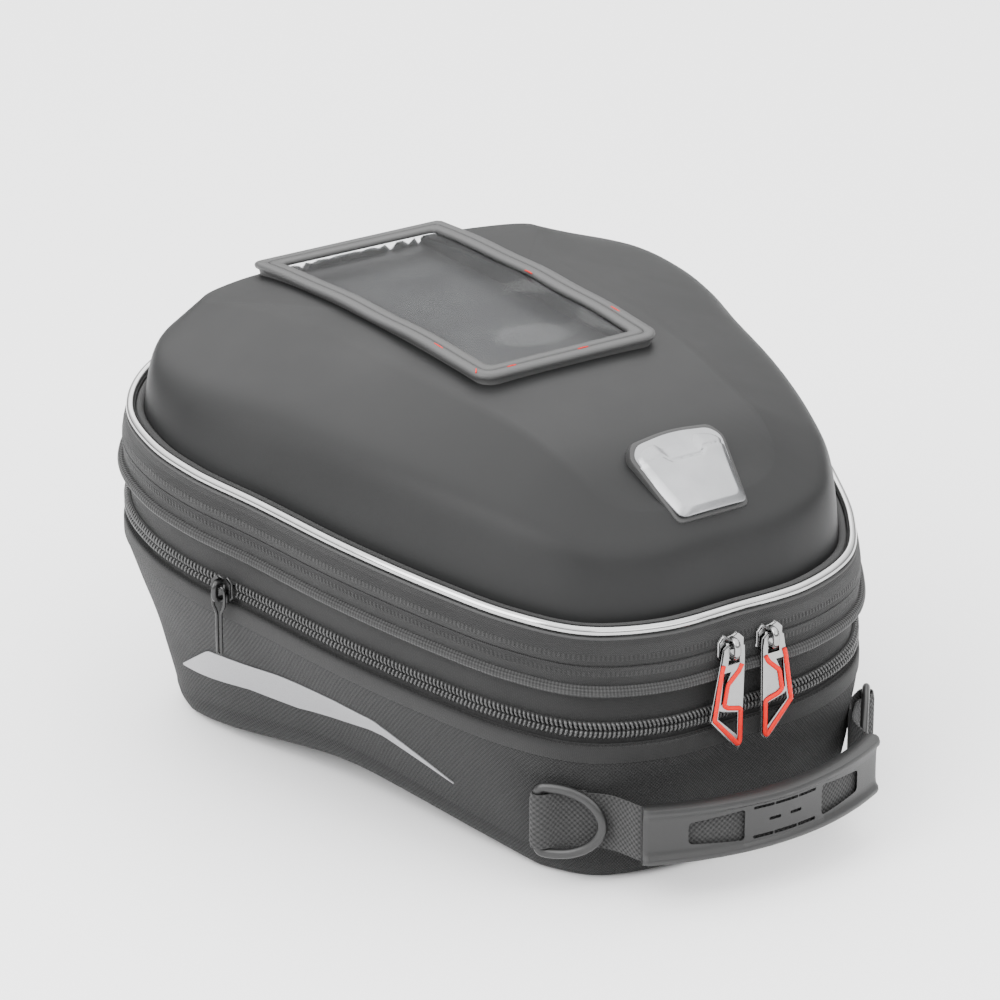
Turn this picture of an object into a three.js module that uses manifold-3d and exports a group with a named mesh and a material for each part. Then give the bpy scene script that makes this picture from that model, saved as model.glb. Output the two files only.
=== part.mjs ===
// Expandable motorcycle tank bag: a moulded tub that rests on the tank, an upper band that
// rises on a folded gusset, and a hard domed lid with a clear phone pocket.
// Millimetres, +Z up. -Y is the rider's end with the grip and the slider pair, +Y the
// handlebar end with the lid's fabric hinge. The base stands on Z = 0.
import * as THREE from 'three';
import { mergeVertices } from 'three/addons/utils/BufferGeometryUtils.js';
import Module from 'manifold-3d';

const wasm = await Module();
wasm.setup();

// ---------------------------------------------------------------- driving dimensions
const RIM_HEIGHT = 139; // silver piping above the floor, at y = 0
const RIM_SLOPE = 0.16; // the rim rises towards the handlebar end
const FRAME_SHIFT_Y = 9.4;
const GAP = 0.3; // clearance between neighbouring pieces
const STEPS = 48; // points round every loop
const WALL = 3; // moulded shell thickness

// Half outlines, from the middle of the rider's end to the middle of the handlebar end.
// The three lists pair up point by point, so a loft between them runs straight.
const RIM_HALF = [[0, -147], [38, -146], [70, -134], [90, -111], [106, -79], [123, -35], [137, 12],
  [148, 46], [151, 74], [144, 104], [119, 132], [71, 153], [0, 160]];
const BASE_HALF = [[0, -147], [36, -146.5], [64, -137], [78, -117], [86, -88], [95, -48], [104, -6],
  [113, 36], [120, 74], [119, 108], [104, 135], [60, 149], [0, 152]];
const CREASE_HALF = [[0, -124], [28, -123], [44, -114], [50, -97], [53, -70], [59, -32], [64, 8],
  [66, 46], [71, 84], [82, 112], [90, 130], [60, 146], [0, 149]];

// Lid: height of the crease above the rim at y = 0, by y, and how square its side is.
const CREASE_HEIGHT = [[-124, 15], [-113, 24.5], [-100, 33.5], [-75, 40.5], [-50, 44.5], [-25, 47],
  [0, 48.5], [25, 50], [50, 50.8], [75, 51], [100, 50.8], [125, 50], [160, 46.5]];
const SIDE_SQUARENESS = [2.6, 2.8, 3.4, 4, 3.8, 3.4, 3.2, 3.2, 3.6, 4.4, 4.8, 4.4, 4];
const LID_EDGE = -6; // lid shell's edge, inward from the silver piping
const LID_CROWN = 1.5;
const WALL_SHARE = 0.62; // share of the lid's height that its steep wall takes below the sloping side
const WALL_STEEPNESS = 4;

// Base: a shallow arch along the tank, with a flat middle for the lock plate.
const ARCH_HEIGHT = 12;
const ARCH_FRONT = -112;
const ARCH_REAR = 106;
const BASE_RADIUS = 12;
const LOCK_FLAT = 0.6; // share of the outline that the flat middle takes

// Heights below the rim of the zips and of the pieces of the band.
const MAIN_ZIP = 13.8;
const EXPANSION_ZIP = 43.7;
const TUB_TOP = 50.5;
const COLLAR_HEIGHT = 8; // upright collar at the top of the tub
const COLLAR_OFFSET = 4.2;
const COIL_HEIGHT = 3.4;
const COIL_FACE = 4.6; // how far the expansion zip's coils stand out of the rim line
const ZIP_SPLIT = GAP / 2;
const FRONT_FACE_Y = -151.6; // outer face of the main zip's tape at the slider pair
const SLIDER_CLEARANCE = 0.9;
const EXPANSION_SLIDER_Y = 26;

// Phone pocket on the lid, heights above the rim at y = 0.
const TRAY_FLOOR = 42.5;
const POCKET_FRONT = -30;
const POCKET_REAR = 150;
const POCKET_TOP = 57;
const FRAME_THICKNESS = 2.6;
const WINDOW_THICKNESS = 0.9;

// Badge on the lid's front slope.
const BADGE_Y = -113;
const BADGE_TILT = THREE.MathUtils.degToRad(39);

// Grip across the rider's end.
const GRIP_HALF_LENGTH = 60;
const GRIP_HEIGHT = 27;
const GRIP_BOTTOM = 20;
const GRIP_END_Y = -166;
const GRIP_BOW = 15;
const GRIP_THICKNESS = 9;
const STRAP_THICKNESS = 2.4;

// Quick-release lock under the base.
const LOCK_RADIUS = 52;
const LOCK_SOCKET_RADIUS = 30;
const LOCK_THICKNESS = 6;
const SCREW_CIRCLE = 44;

// ---------------------------------------------------------------- materials
const material = (colour, roughness, metalness = 0) =>
  new THREE.MeshStandardMaterial({ color: colour, roughness, metalness });
const FINISH = {
  nylon: material(0x242526, 0.85),
  rubberised: material(0x3a3b3d, 0.55),
  tape: material(0x1e1f21, 0.8),
  coil: material(0x2a2b2d, 0.45),
  silver: material(0xd6d8dc, 0.2, 0.8),
  clear: material(0x9aa0a4, 0.1),
  rubber: material(0x2b2c2e, 0.6),
  plastic: material(0x17181a, 0.5),
  chrome: material(0xc8cacc, 0.15, 1),
  aluminium: material(0xb9bbbf, 0.35, 0.9),
  red: material(0xd8231f, 0.5),
  steel: material(0x8c8f93, 0.35, 0.9),
};

// ---------------------------------------------------------------- outlines
function closedCurve(half, offset = 0) {
  const mirrored = half.slice(1, -1).reverse().map(([x, y]) => [-x, y]);
  const points = [...half, ...mirrored].map(([x, y]) => new THREE.Vector3(x, y, 0));
  const curve = new THREE.CatmullRomCurve3(points, true, 'centripetal');
  return Array.from({ length: STEPS }, (_, i) => {
    const t = i / STEPS;
    const tangent = curve.getTangent(t);
    return curve.getPoint(t).add(new THREE.Vector3(tangent.y, -tangent.x, 0).multiplyScalar(offset));
  });
}

const atHeight = (outline, heightOf) => outline.map((p) => new THREE.Vector3(p.x, p.y, heightOf(p)));
const rimZ = (y) => RIM_HEIGHT + RIM_SLOPE * y;
const rimLoop = (offset, height) => atHeight(closedCurve(RIM_HALF, offset), (p) => rimZ(p.y) + height);

function interpolate(table, value) {
  const last = table.length - 1;
  const next = Math.min(last, Math.max(1, table.findIndex(([key]) => key >= value)));
  const [k0, v0] = table[next - 1];
  const [k1, v1] = table[next];
  return v0 + (v1 - v0) * THREE.MathUtils.clamp((value - k0) / (k1 - k0), 0, 1);
}

// ---------------------------------------------------------------- solids
function solid(points, faces) {
  const geometry = new THREE.BufferGeometry();
  geometry.setAttribute('position', new THREE.Float32BufferAttribute(points.flatMap((p) => p.toArray()), 3));
  const volume = faces.reduce((sum, [a, b, c]) =>
    sum + points[a].dot(new THREE.Vector3().crossVectors(points[b], points[c])), 0);
  geometry.setIndex(faces.flatMap(([a, b, c]) => (volume < 0 ? [a, c, b] : [a, b, c])));
  return geometry;
}

function bridge(faces, a, b, count) {
  for (let i = 0; i < count; i++) {
    const j = (i + 1) % count;
    faces.push([a + i, a + j, b + j], [a + i, b + j, b + i]);
  }
}

// Loops of equal length joined in turn; "ring" joins the last to the first, or else both ends
// close on their middles.
function loft(loops, ring = false) {
  const count = loops[0].length;
  const points = loops.flat();
  const faces = [];
  const pairs = ring ? loops.length : loops.length - 1;
  for (let k = 0; k < pairs; k++) {
    bridge(faces, k * count, ((k + 1) % loops.length) * count, count);
  }
  if (!ring) {
    [[loops[0], 0, 1], [loops.at(-1), (loops.length - 1) * count, -1]].forEach(([loop, first, sense]) => {
      const middle = loop.reduce((sum, p) => sum.add(p), new THREE.Vector3()).divideScalar(count);
      const hub = points.push(middle) - 1;
      for (let i = 0; i < count; i++) {
        const pair = [first + i, first + ((i + 1) % count)];
        faces.push(sense > 0 ? [hub, pair[1], pair[0]] : [hub, pair[0], pair[1]]);
      }
    });
  }
  return solid(points, faces);
}

// A closed profile of [offset outward, height above the rim] carried round the rim.
const rimRing = (profile) => loft(profile.map(([offset, height]) => rimLoop(offset, height)), true);

const box = (o0, o1, h0, h1) => [[o0, h0], [o1, h0], [o1, h1], [o0, h1]];
const round = (o, h, radius, sides = 6) => Array.from({ length: sides }, (_, i) => {
  const angle = (i / sides) * 2 * Math.PI;
  return [o + radius * Math.cos(angle), h + radius * Math.sin(angle)];
});

function toManifold(geometry) {
  const bare = geometry.clone();
  bare.deleteAttribute('normal');
  bare.deleteAttribute('uv');
  const merged = mergeVertices(bare, 1e-4);
  const index = merged.index ? merged.index.array : Array.from({ length: merged.attributes.position.count }, (_, i) => i);
  return new wasm.Manifold(new wasm.Mesh({
    numProp: 3,
    vertProperties: new Float32Array(merged.attributes.position.array),
    triVerts: new Uint32Array(index),
  }));
}

function fromManifold(shape) {
  const mesh = shape.getMesh();
  const geometry = new THREE.BufferGeometry();
  geometry.setAttribute('position', new THREE.Float32BufferAttribute(mesh.vertProperties, 3));
  geometry.setIndex(Array.from(mesh.triVerts));
  return geometry;
}

const cut = (geometry, ...tools) =>
  fromManifold(tools.reduce((rest, tool) => rest.subtract(toManifold(tool)), toManifold(geometry)));
const join = (...parts) => fromManifold(parts.map(toManifold).reduce((sum, part) => sum.add(part)));

const block = (x0, x1, y0, y1, z0, z1) =>
  new THREE.BoxGeometry(x1 - x0, y1 - y0, z1 - z0).translate((x0 + x1) / 2, (y0 + y1) / 2, (z0 + z1) / 2);
const cylinder = (radius, z0, z1, x = 0, y = 0, sides = 20) =>
  new THREE.CylinderGeometry(radius, radius, z1 - z0, sides).rotateX(Math.PI / 2).translate(x, y, (z0 + z1) / 2);
const polygon = (points) => new THREE.Shape(points.map(([x, y]) => new THREE.Vector2(x, y)));
const extrude = (shape, depth) => new THREE.ExtrudeGeometry(shape, { depth, bevelEnabled: false, curveSegments: 6 });

// A strip of webbing or a moulding that follows a plan line and stands from z0 to z1.
function ribbon(line, thickness, z0, z1) {
  const side = (sense) => line.map(([x, y], i) => {
    const [ax, ay] = line[Math.max(0, i - 1)];
    const [bx, by] = line[Math.min(line.length - 1, i + 1)];
    const length = Math.hypot(bx - ax, by - ay);
    return [x + (sense * (by - ay) * thickness) / 2 / length, y - (sense * (bx - ax) * thickness) / 2 / length];
  });
  return extrude(polygon([...side(1), ...side(-1).reverse()]), z1 - z0).translate(0, 0, z0);
}

const mirrorLine = (line) => line.map(([x, y]) => [-x, y]);

// A round bar along a closed flat path. "across" is the direction square to the path's plane.
function closedBar(path, across, radius, sides = 6) {
  const count = path.length;
  const rings = path.map((point, i) => {
    const along = path[(i + 1) % count].clone().sub(path[(i + count - 1) % count]).normalize();
    const out = new THREE.Vector3().crossVectors(along, across).normalize();
    return Array.from({ length: sides }, (_, k) => {
      const angle = (k / sides) * 2 * Math.PI;
      return point.clone().addScaledVector(out, radius * Math.cos(angle)).addScaledVector(across, radius * Math.sin(angle));
    });
  });
  return loft(rings, true);
}

// ---------------------------------------------------------------- assembly
const bag = new THREE.Group();
bag.position.y = FRAME_SHIFT_Y;

function add(name, geometry, finish, parent = bag) {
  geometry.computeVertexNormals();
  const mesh = new THREE.Mesh(geometry, finish);
  mesh.name = name;
  parent.add(mesh);
  return mesh;
}

// ---------------------------------------------------------------- tub
function archZ(y) {
  const towardsEnd = y < 0 ? y / ARCH_FRONT : y / ARCH_REAR;
  return ARCH_HEIGHT * Math.max(0, 1 - towardsEnd);
}

const baseOutline = closedCurve(BASE_HALF);
const scaled = (outline, share) => outline.map((p) => new THREE.Vector3(p.x * share, p.y * share, p.z));

// Loop of the tub's wall: share 0 at the base's edge and 1 at the foot of the upright collar
// under the zip. "inset" thins it inward.
function wallLoop(share, inset) {
  const top = rimLoop(COLLAR_OFFSET - inset, -TUB_TOP - COLLAR_HEIGHT);
  const base = closedCurve(BASE_HALF, -inset);
  return top.map((p, i) => {
    const low = new THREE.Vector3(base[i].x, base[i].y, archZ(base[i].y) + BASE_RADIUS);
    return low.lerp(p, share);
  });
}

function tubLoops(inset) {
  const edge = (inward, height) => atHeight(closedCurve(BASE_HALF, -inset - inward), (p) => archZ(p.y) + height + inset);
  const rim = atHeight(scaled(baseOutline, 0.86), (p) => archZ(p.y / 0.86) + inset);
  const flat = atHeight(scaled(baseOutline, LOCK_FLAT), () => ARCH_HEIGHT + inset);
  const wall = [0.06, 0.5, 1].map((share) => wallLoop(share, inset));
  return [flat, rim, edge(8, 0), edge(2.4, 3.2), ...wall, rimLoop(COLLAR_OFFSET - inset, -TUB_TOP)];
}

const screwSpots = [45, 135, 225, 315].map((degrees) => {
  const angle = THREE.MathUtils.degToRad(degrees);
  return [SCREW_CIRCLE * Math.cos(angle), SCREW_CIRCLE * Math.sin(angle)];
});
const screwHoles = (radius) => screwSpots.map(([x, y]) => cylinder(radius, -5, 60, x, y, 10));

function tubShell() {
  const outside = tubLoops(0);
  const inside = tubLoops(WALL).reverse();
  return cut(loft([...outside, ...inside]), ...screwHoles(2.4));
}

function baseBoard() {
  const low = ARCH_HEIGHT + WALL + GAP;
  const loop = (height) => atHeight(scaled(baseOutline, LOCK_FLAT - 0.02), () => height);
  return cut(loft([loop(low), loop(low + 2.5)]), ...screwHoles(2.4));
}

// ---------------------------------------------------------------- quick-release lock
const LOCK_TOP = ARCH_HEIGHT - GAP;
const LOCK_LOW = LOCK_TOP - LOCK_THICKNESS;
const BOLT_Z = [LOCK_LOW + 1.6, LOCK_LOW + 4.4];
const SPRING_SEAT = -50; // the channel narrows here, and the springs push against its shoulders

function lockPlate() {
  const ring = new THREE.Shape().absarc(0, 0, LOCK_RADIUS, 0, 2 * Math.PI);
  ring.holes.push(new THREE.Path().absarc(0, 0, LOCK_SOCKET_RADIUS, 0, 2 * Math.PI, true));
  const plate = new THREE.ExtrudeGeometry(ring, { depth: LOCK_THICKNESS, bevelEnabled: false, curveSegments: 16 });
  plate.translate(0, 0, LOCK_LOW);
  const channel = block(-7, 7, SPRING_SEAT, -LOCK_SOCKET_RADIUS + 2, BOLT_Z[0] - GAP, LOCK_TOP + 1);
  const pullSlot = block(-3.2, 3.2, -LOCK_RADIUS - 2, SPRING_SEAT + 1, BOLT_Z[0] - GAP, LOCK_TOP + 1);
  return cut(plate, channel, pullSlot, ...screwHoles(2.4));
}

function lockScrew() {
  const profile = [[0, -2.2], [3.2, -2.2], [4.6, -0.4], [4.6, 0], [2.1, 0], [2.1, 14.5], [0, 14.5]];
  const head = new THREE.LatheGeometry(profile.map(([r, z]) => new THREE.Vector2(r, z)), 10);
  return head.rotateX(Math.PI / 2).translate(0, 0, LOCK_LOW - GAP);
}

function lockBolt() {
  const bar = block(-6.2, 6.2, -43, -26.5, ...BOLT_Z);
  const pull = block(-2.6, 2.6, -62, -42, BOLT_Z[0] + 0.4, BOLT_Z[1] - 0.6);
  return join(bar, pull);
}

function springBar(x) {
  const turns = 3;
  const steps = turns * 8;
  const path = Array.from({ length: steps + 1 }, (_, i) => {
    const angle = (i / 8) * 2 * Math.PI;
    return new THREE.Vector3(x + Math.cos(angle), -43.7 - (i / steps) * 5.6, Math.sin(angle));
  });
  const section = new THREE.Shape().absarc(0, 0, 0.3, 0, 2 * Math.PI);
  const spring = new THREE.ExtrudeGeometry(section, {
    steps, extrudePath: new THREE.CatmullRomCurve3(path), curveSegments: 2, bevelEnabled: false,
  });
  return spring.translate(0, 0, (BOLT_Z[0] + BOLT_Z[1]) / 2);
}

// ---------------------------------------------------------------- lid
const lidCrease = closedCurve(CREASE_HALF);
const creaseZ = (y) => RIM_HEIGHT + interpolate(CREASE_HEIGHT, y);

function squareness(step) {
  const place = Math.abs(((step + STEPS / 2) % STEPS) - STEPS / 2) / 2;
  return interpolate(SIDE_SQUARENESS.map((value, key) => [key, value]), place);
}

function lidLoops(inset) {
  const edge = rimLoop(LID_EDGE - inset, 0);
  const side = [0, 0.035, 0.09, 0.19, 0.45, 1].map((share) => edge.map((p, i) => {
    const crease = lidCrease[i];
    const wall = 1 - (1 - share) ** (squareness(i) * WALL_STEEPNESS);
    const rise = WALL_SHARE * wall + (1 - WALL_SHARE) * share;
    const top = creaseZ(crease.y) - inset;
    return new THREE.Vector3(
      THREE.MathUtils.lerp(p.x, crease.x, share), THREE.MathUtils.lerp(p.y, crease.y, share),
      THREE.MathUtils.lerp(p.z, top, rise));
  }));
  const crown = [0.66, 0.33].map((share) => lidCrease.map((p) => {
    const y = 18 + (p.y - 18) * share;
    return new THREE.Vector3(p.x * share, y, creaseZ(y) - inset + LID_CROWN * (1 - share ** 2));
  }));
  return [...side, ...crown];
}

const lidSolid = (inset) => loft(lidLoops(inset));

function lidHollow() {
  const [edge, ...rest] = lidLoops(WALL);
  return loft([edge.map((p) => p.clone().setZ(p.z - 30)), ...rest]);
}

// Half width of the pocket frame by y: broad at the open end, drawn in at its front corners.
const pocketHalfWidth = (y) => THREE.MathUtils.mapLinear(y, POCKET_FRONT, POCKET_REAR, 47, 52);
const pocketZ = (height) => RIM_HEIGHT + height;

function trayTool(grow) {
  const outline = polygon([
    [-40 - grow, POCKET_FRONT + 9 - grow], [40 + grow, POCKET_FRONT + 9 - grow], [42 + grow, 220], [-42 - grow, 220],
  ]);
  return extrude(outline, 60).translate(0, 0, pocketZ(TRAY_FLOOR) - grow);
}

function lidShell() {
  const outside = toManifold(lidSolid(0)).subtract(toManifold(trayTool(0)));
  const inside = toManifold(lidHollow()).subtract(toManifold(trayTool(WALL)));
  return fromManifold(outside.subtract(inside));
}

function pocketPlan(inset) {
  const front = POCKET_FRONT + inset;
  const rear = POCKET_REAR - inset;
  const w0 = pocketHalfWidth(POCKET_FRONT) - inset;
  const w1 = pocketHalfWidth(POCKET_REAR) - inset;
  const r = Math.max(2, 8 - inset);
  return [[-w0, front + r], [-w0 + r, front], [w0 - r, front], [w0, front + r], [w1, rear], [-w1, rear]];
}

function pocketFrame() {
  const shape = polygon(pocketPlan(0));
  shape.holes.push(new THREE.Path(pocketPlan(9).reverse().map(([x, y]) => new THREE.Vector2(x, y))));
  return extrude(shape, FRAME_THICKNESS).translate(0, 0, pocketZ(POCKET_TOP) - FRAME_THICKNESS);
}

function pocketWindow() {
  const top = pocketZ(POCKET_TOP) - FRAME_THICKNESS - GAP;
  return extrude(polygon(pocketPlan(5)), WINDOW_THICKNESS).translate(0, 0, top - WINDOW_THICKNESS);
}

// The welt that joins frame and window to the lid along the two sides and the front.
function pocketWelt() {
  const top = pocketZ(POCKET_TOP) - FRAME_THICKNESS - 2 * GAP - WINDOW_THICKNESS;
  const shape = polygon(pocketPlan(1));
  shape.holes.push(new THREE.Path(pocketPlan(7).reverse().map(([x, y]) => new THREE.Vector2(x, y))));
  const wall = extrude(shape, 12).translate(0, 0, top - 12);
  const slot = block(-41, 41, POCKET_REAR - 20, POCKET_REAR + 10, top - 20, top + 1);
  return cut(wall, slot, lidSolid(-GAP));
}

function badgeShape(grow) {
  const w = 23.5 + grow;
  const low = 17 + grow;
  return polygon([[-low, -20 - grow], [low, -20 - grow], [w, 12], [w - 3, 17 + grow], [0, 21 + grow], [-w + 3, 17 + grow], [-w, 12]]);
}

function onBadgePlane(geometry) {
  const lift = creaseZ(BADGE_Y) + 2.4;
  return geometry.rotateX(BADGE_TILT).translate(0, BADGE_Y - 1.5, lift);
}

const badgeBase = () => cut(onBadgePlane(extrude(badgeShape(1.5), 9).translate(0, 0, -9)), lidSolid(-GAP));
const badgePlate = () => onBadgePlane(extrude(badgeShape(0), 2.2).translate(0, 0, GAP));

// ---------------------------------------------------------------- zip sliders and pulls
// Each slider is drawn at the origin: X along the zip, -Y outward, its back at y = 0.
const sideways = new THREE.Matrix4().makeBasis(
  new THREE.Vector3(0, 1, 0), new THREE.Vector3(0, 0, 1), new THREE.Vector3(1, 0, 0));
const upright = new THREE.Matrix4().makeBasis(
  new THREE.Vector3(1, 0, 0), new THREE.Vector3(0, 0, 1), new THREE.Vector3(0, -1, 0));
const PULL_FACE = -4.3; // outer face of a pull's plate
const PULL_AXIS = { y: -3.6, z: 1 };

function sliderBody(width) {
  const plate = block(-width / 2, width / 2, -2.2, 0, -5.2, 5.2);
  const staple = polygon([[-2, -4.6], [-5, -4], [-6.4, -2.6], [-6.4, 2.6], [-5, 4], [-2, 4.6]]);
  staple.holes.push(new THREE.Path([[-2.4, -3], [-2.4, 3], [-4.8, 2.4], [-4.8, -2.4]]
    .map(([y, z]) => new THREE.Vector2(y, z))));
  return join(plate, extrude(staple, 3).applyMatrix4(sideways).translate(-1.5, 0, 0));
}

// Flat pull hanging from the staple: points are [across, up]; "sense" mirrors the pair.
const bladePoints = (sense, points) => points.map(([x, z]) => [x * sense, z]);
const windowIn = (shape, points) =>
  shape.holes.push(new THREE.Path(points.map(([x, z]) => new THREE.Vector2(x, z))));

function bladePull(sense) {
  const shape = polygon(bladePoints(sense, [[-5.4, 1.8], [-11.6, -31], [2.4, -46.5], [4.6, -43.5], [5, 1.8]]));
  windowIn(shape, bladePoints(sense, [[-2.6, 0.2], [2.6, 0.2], [2.6, -7], [-2.6, -7]]));
  windowIn(shape, bladePoints(sense, [[1.2, -29], [1.2, -38.5], [-6.6, -30.5], [-6.2, -27]]));
  return extrude(shape, 1.4).applyMatrix4(upright).translate(0, PULL_FACE + 1.4, 0);
}

function bladeInlay(sense) {
  const outer = [[-6.9, -9], [-10.6, -30.6], [1.6, -44.2], [3.6, -43], [3.6, -26.5]];
  const inner = [[1.9, -26.5], [1.9, -40], [-8, -30], [-5, -9]];
  return extrude(polygon(bladePoints(sense, [...outer, ...inner])), 0.8)
    .applyMatrix4(upright).translate(0, PULL_FACE - GAP, 0);
}

function wirePull() {
  const shape = polygon([[-3.6, 1.8], [-3.6, -8], [-1.3, -10.5], [-1.3, -31], [1.3, -31], [1.3, -10.5], [3.6, -8], [3.6, 1.8]]);
  windowIn(shape, [[-2, 0.2], [2, 0.2], [2, -7], [-2, -7]]);
  return extrude(shape, 1.4).applyMatrix4(upright).translate(0, PULL_FACE + 1.4, 0);
}

function addMainSlider(side, sense, x) {
  const group = new THREE.Group();
  group.position.set(x, FRONT_FACE_Y - GAP, rimZ(FRONT_FACE_Y) - MAIN_ZIP);
  bag.add(group);
  add(`main_slider_${side}`, sliderBody(11), FINISH.chrome, group);
  add(`main_pull_${side}`, bladePull(sense), FINISH.silver, group);
  add(`main_pull_inlay_${side}`, bladeInlay(sense), FINISH.red, group);
}

function addExpansionSlider() {
  const outline = closedCurve(RIM_HALF, COIL_FACE);
  const left = outline.map((p, i) => [p, outline[(i + 1) % STEPS]])
    .find(([p, q]) => p.x < 0 && p.y >= EXPANSION_SLIDER_Y && q.y < EXPANSION_SLIDER_Y);
  const [rear, front] = left;
  const along = front.clone().sub(rear).normalize();
  const spot = rear.clone().lerp(front, (rear.y - EXPANSION_SLIDER_Y) / (rear.y - front.y));
  const group = new THREE.Group();
  group.position.copy(spot).add(new THREE.Vector3(along.y, -along.x, 0).multiplyScalar(SLIDER_CLEARANCE));
  group.position.z = rimZ(EXPANSION_SLIDER_Y) - EXPANSION_ZIP;
  group.rotation.z = Math.atan2(along.y, along.x);
  bag.add(group);
  add('expansion_slider', sliderBody(9), FINISH.plastic, group);
  add('expansion_pull', wirePull(), FINISH.plastic, group);
}

// ---------------------------------------------------------------- grip, straps and D-rings
const WEB_LOW = 20.8;
const WEB_HIGH = 45.6;
const RING_BAR = [-88, -128];
const RING_WAY = new THREE.Vector3(0.653, -0.757, 0);
const RING_RADIUS = 1.9;

function ringPath() {
  const shape = [[0, 21], [0, 33.2], [0, 45.5], [2.5, 48], [13, 48], [21.5, 44.5], [26.5, 38.5],
    [28, 33.2], [26.5, 28], [21.5, 22], [13, 18.5], [2.5, 18.5]];
  return shape.map(([s, z]) => new THREE.Vector3(...RING_BAR, z).addScaledVector(RING_WAY, s));
}

function dRing() {
  const across = new THREE.Vector3(RING_WAY.y, -RING_WAY.x, 0);
  return closedBar(ringPath(), across, RING_RADIUS, 8);
}

function strapAnchor() {
  const loop = cylinder(4.4, WEB_LOW, WEB_HIGH, ...RING_BAR, 16);
  const route = [[-84.6, -126.8], [-80.6, -129], [-74, -137.4], [-66.6, -144.2]];
  const tail = ribbon(route, STRAP_THICKNESS, WEB_LOW, WEB_HIGH);
  return cut(join(loop, tail), cylinder(RING_RADIUS + 0.5, 0, 90, ...RING_BAR, 16));
}

const mirrored = (geometry) => {
  const flipped = geometry.clone().scale(-1, 1, 1);
  const index = Array.from(flipped.index.array);
  flipped.setIndex(index.map((_, i) => index[3 * Math.floor(i / 3) + [0, 2, 1][i % 3]]));
  return flipped;
};

const bowY = (x) => GRIP_END_Y - GRIP_BOW * (1 - (x / GRIP_HALF_LENGTH) ** 2);
const bowLine = (reach, count) => Array.from({ length: count + 1 }, (_, i) => {
  const x = reach * (2 * (i / count) - 1);
  return [x, bowY(x)];
});

function strapLine() {
  const lead = [[-64.8, -147.4], [-62, -156]];
  return [...lead, ...bowLine(GRIP_HALF_LENGTH - 1, 12), ...mirrorLine(lead).reverse()];
}

const handleStrap = () => ribbon(strapLine(), STRAP_THICKNESS, WEB_LOW, WEB_HIGH);

function gripWindows() {
  return [-1, 1].map((side) => {
    const outline = bladePoints(side, [[20, 25.5], [20, 41.5], [44, 39], [44, 28]]);
    return extrude(polygon(outline), 12).applyMatrix4(upright).translate(0, bowY(32) - 0.8, 0);
  });
}

function handleGrip() {
  const sleeve = ribbon(bowLine(GRIP_HALF_LENGTH, 14), GRIP_THICKNESS, GRIP_BOTTOM, GRIP_BOTTOM + GRIP_HEIGHT);
  const channel = ribbon(strapLine(), STRAP_THICKNESS + 4 * GAP, WEB_LOW - GAP, WEB_HIGH + GAP);
  return cut(sleeve, channel, ...gripWindows());
}

// ---------------------------------------------------------------- stripes on the tub's sides
const STRIPE_REAR = 91;
const STRIPE_TIP = -76;
const STRIPE_LIFT = 0.8;
const STRIPE_LOW = [[-76, 31], [-43, 44.5], [-35, 45], [15, 37.5], [42, 38], [77, 34], [91, 33]];
const STRIPE_HIGH = [[-76, 31.8], [-41, 52.5], [-20, 55], [15, 56], [34, 55], [58, 54], [91, 34]];

function stripe() {
  const [low, high] = [wallLoop(0, -STRIPE_LIFT), wallLoop(1, -STRIPE_LIFT)];
  const half = Array.from({ length: STEPS / 2 }, (_, i) => i);
  const wallAt = (y, z) => {
    const column = half.map((i) => low[i].clone().lerp(high[i], (z - low[i].z) / (high[i].z - low[i].z)));
    const next = column.findIndex((p) => p.y > y);
    const [a, b] = [column[next - 1], column[next]];
    return a.clone().lerp(b, (y - a.y) / (b.y - a.y)).setZ(z);
  };
  const stations = 12;
  const rows = Array.from({ length: stations + 1 }, (_, i) => {
    const y = THREE.MathUtils.lerp(STRIPE_TIP, STRIPE_REAR, i / stations);
    const [bottom, top] = [wallAt(y, interpolate(STRIPE_LOW, y)), wallAt(y, interpolate(STRIPE_HIGH, y))];
    const out = new THREE.Vector3(0.6, 0, 0);
    return [bottom, top, top.clone().add(out), bottom.clone().add(out)];
  });
  return loft(rows);
}

// ---------------------------------------------------------------- put together
add('tub_shell', tubShell(), FINISH.nylon);
add('base_board', baseBoard(), FINISH.plastic);
add('lock_plate', lockPlate(), FINISH.plastic);
screwSpots.forEach(([x, y], i) => {
  add(`lock_screw_${i + 1}`, lockScrew(), FINISH.steel).position.set(x, y, 0);
});
add('lock_bolt', lockBolt(), FINISH.red);
add('bolt_spring_left', springBar(-4.6), FINISH.steel);
add('bolt_spring_right', springBar(4.6), FINISH.steel);
add('expansion_tape_lower', rimRing(box(-0.2, 0.9, -57, -EXPANSION_ZIP - ZIP_SPLIT)), FINISH.tape);
const lowerCoil = [-EXPANSION_ZIP - ZIP_SPLIT - COIL_HEIGHT, -EXPANSION_ZIP - ZIP_SPLIT];
add('expansion_coil_lower', rimRing(box(1.2, COIL_FACE, ...lowerCoil)), FINISH.coil);
add('stripe_right', stripe(), FINISH.silver);
add('stripe_left', mirrored(stripe()), FINISH.silver);
add('strap_anchor_left', strapAnchor(), FINISH.nylon);
add('strap_anchor_right', mirrored(strapAnchor()), FINISH.nylon);

add('expansion_gusset', rimRing(box(-6.8, -4.2, -57, -22)), FINISH.nylon);

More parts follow.
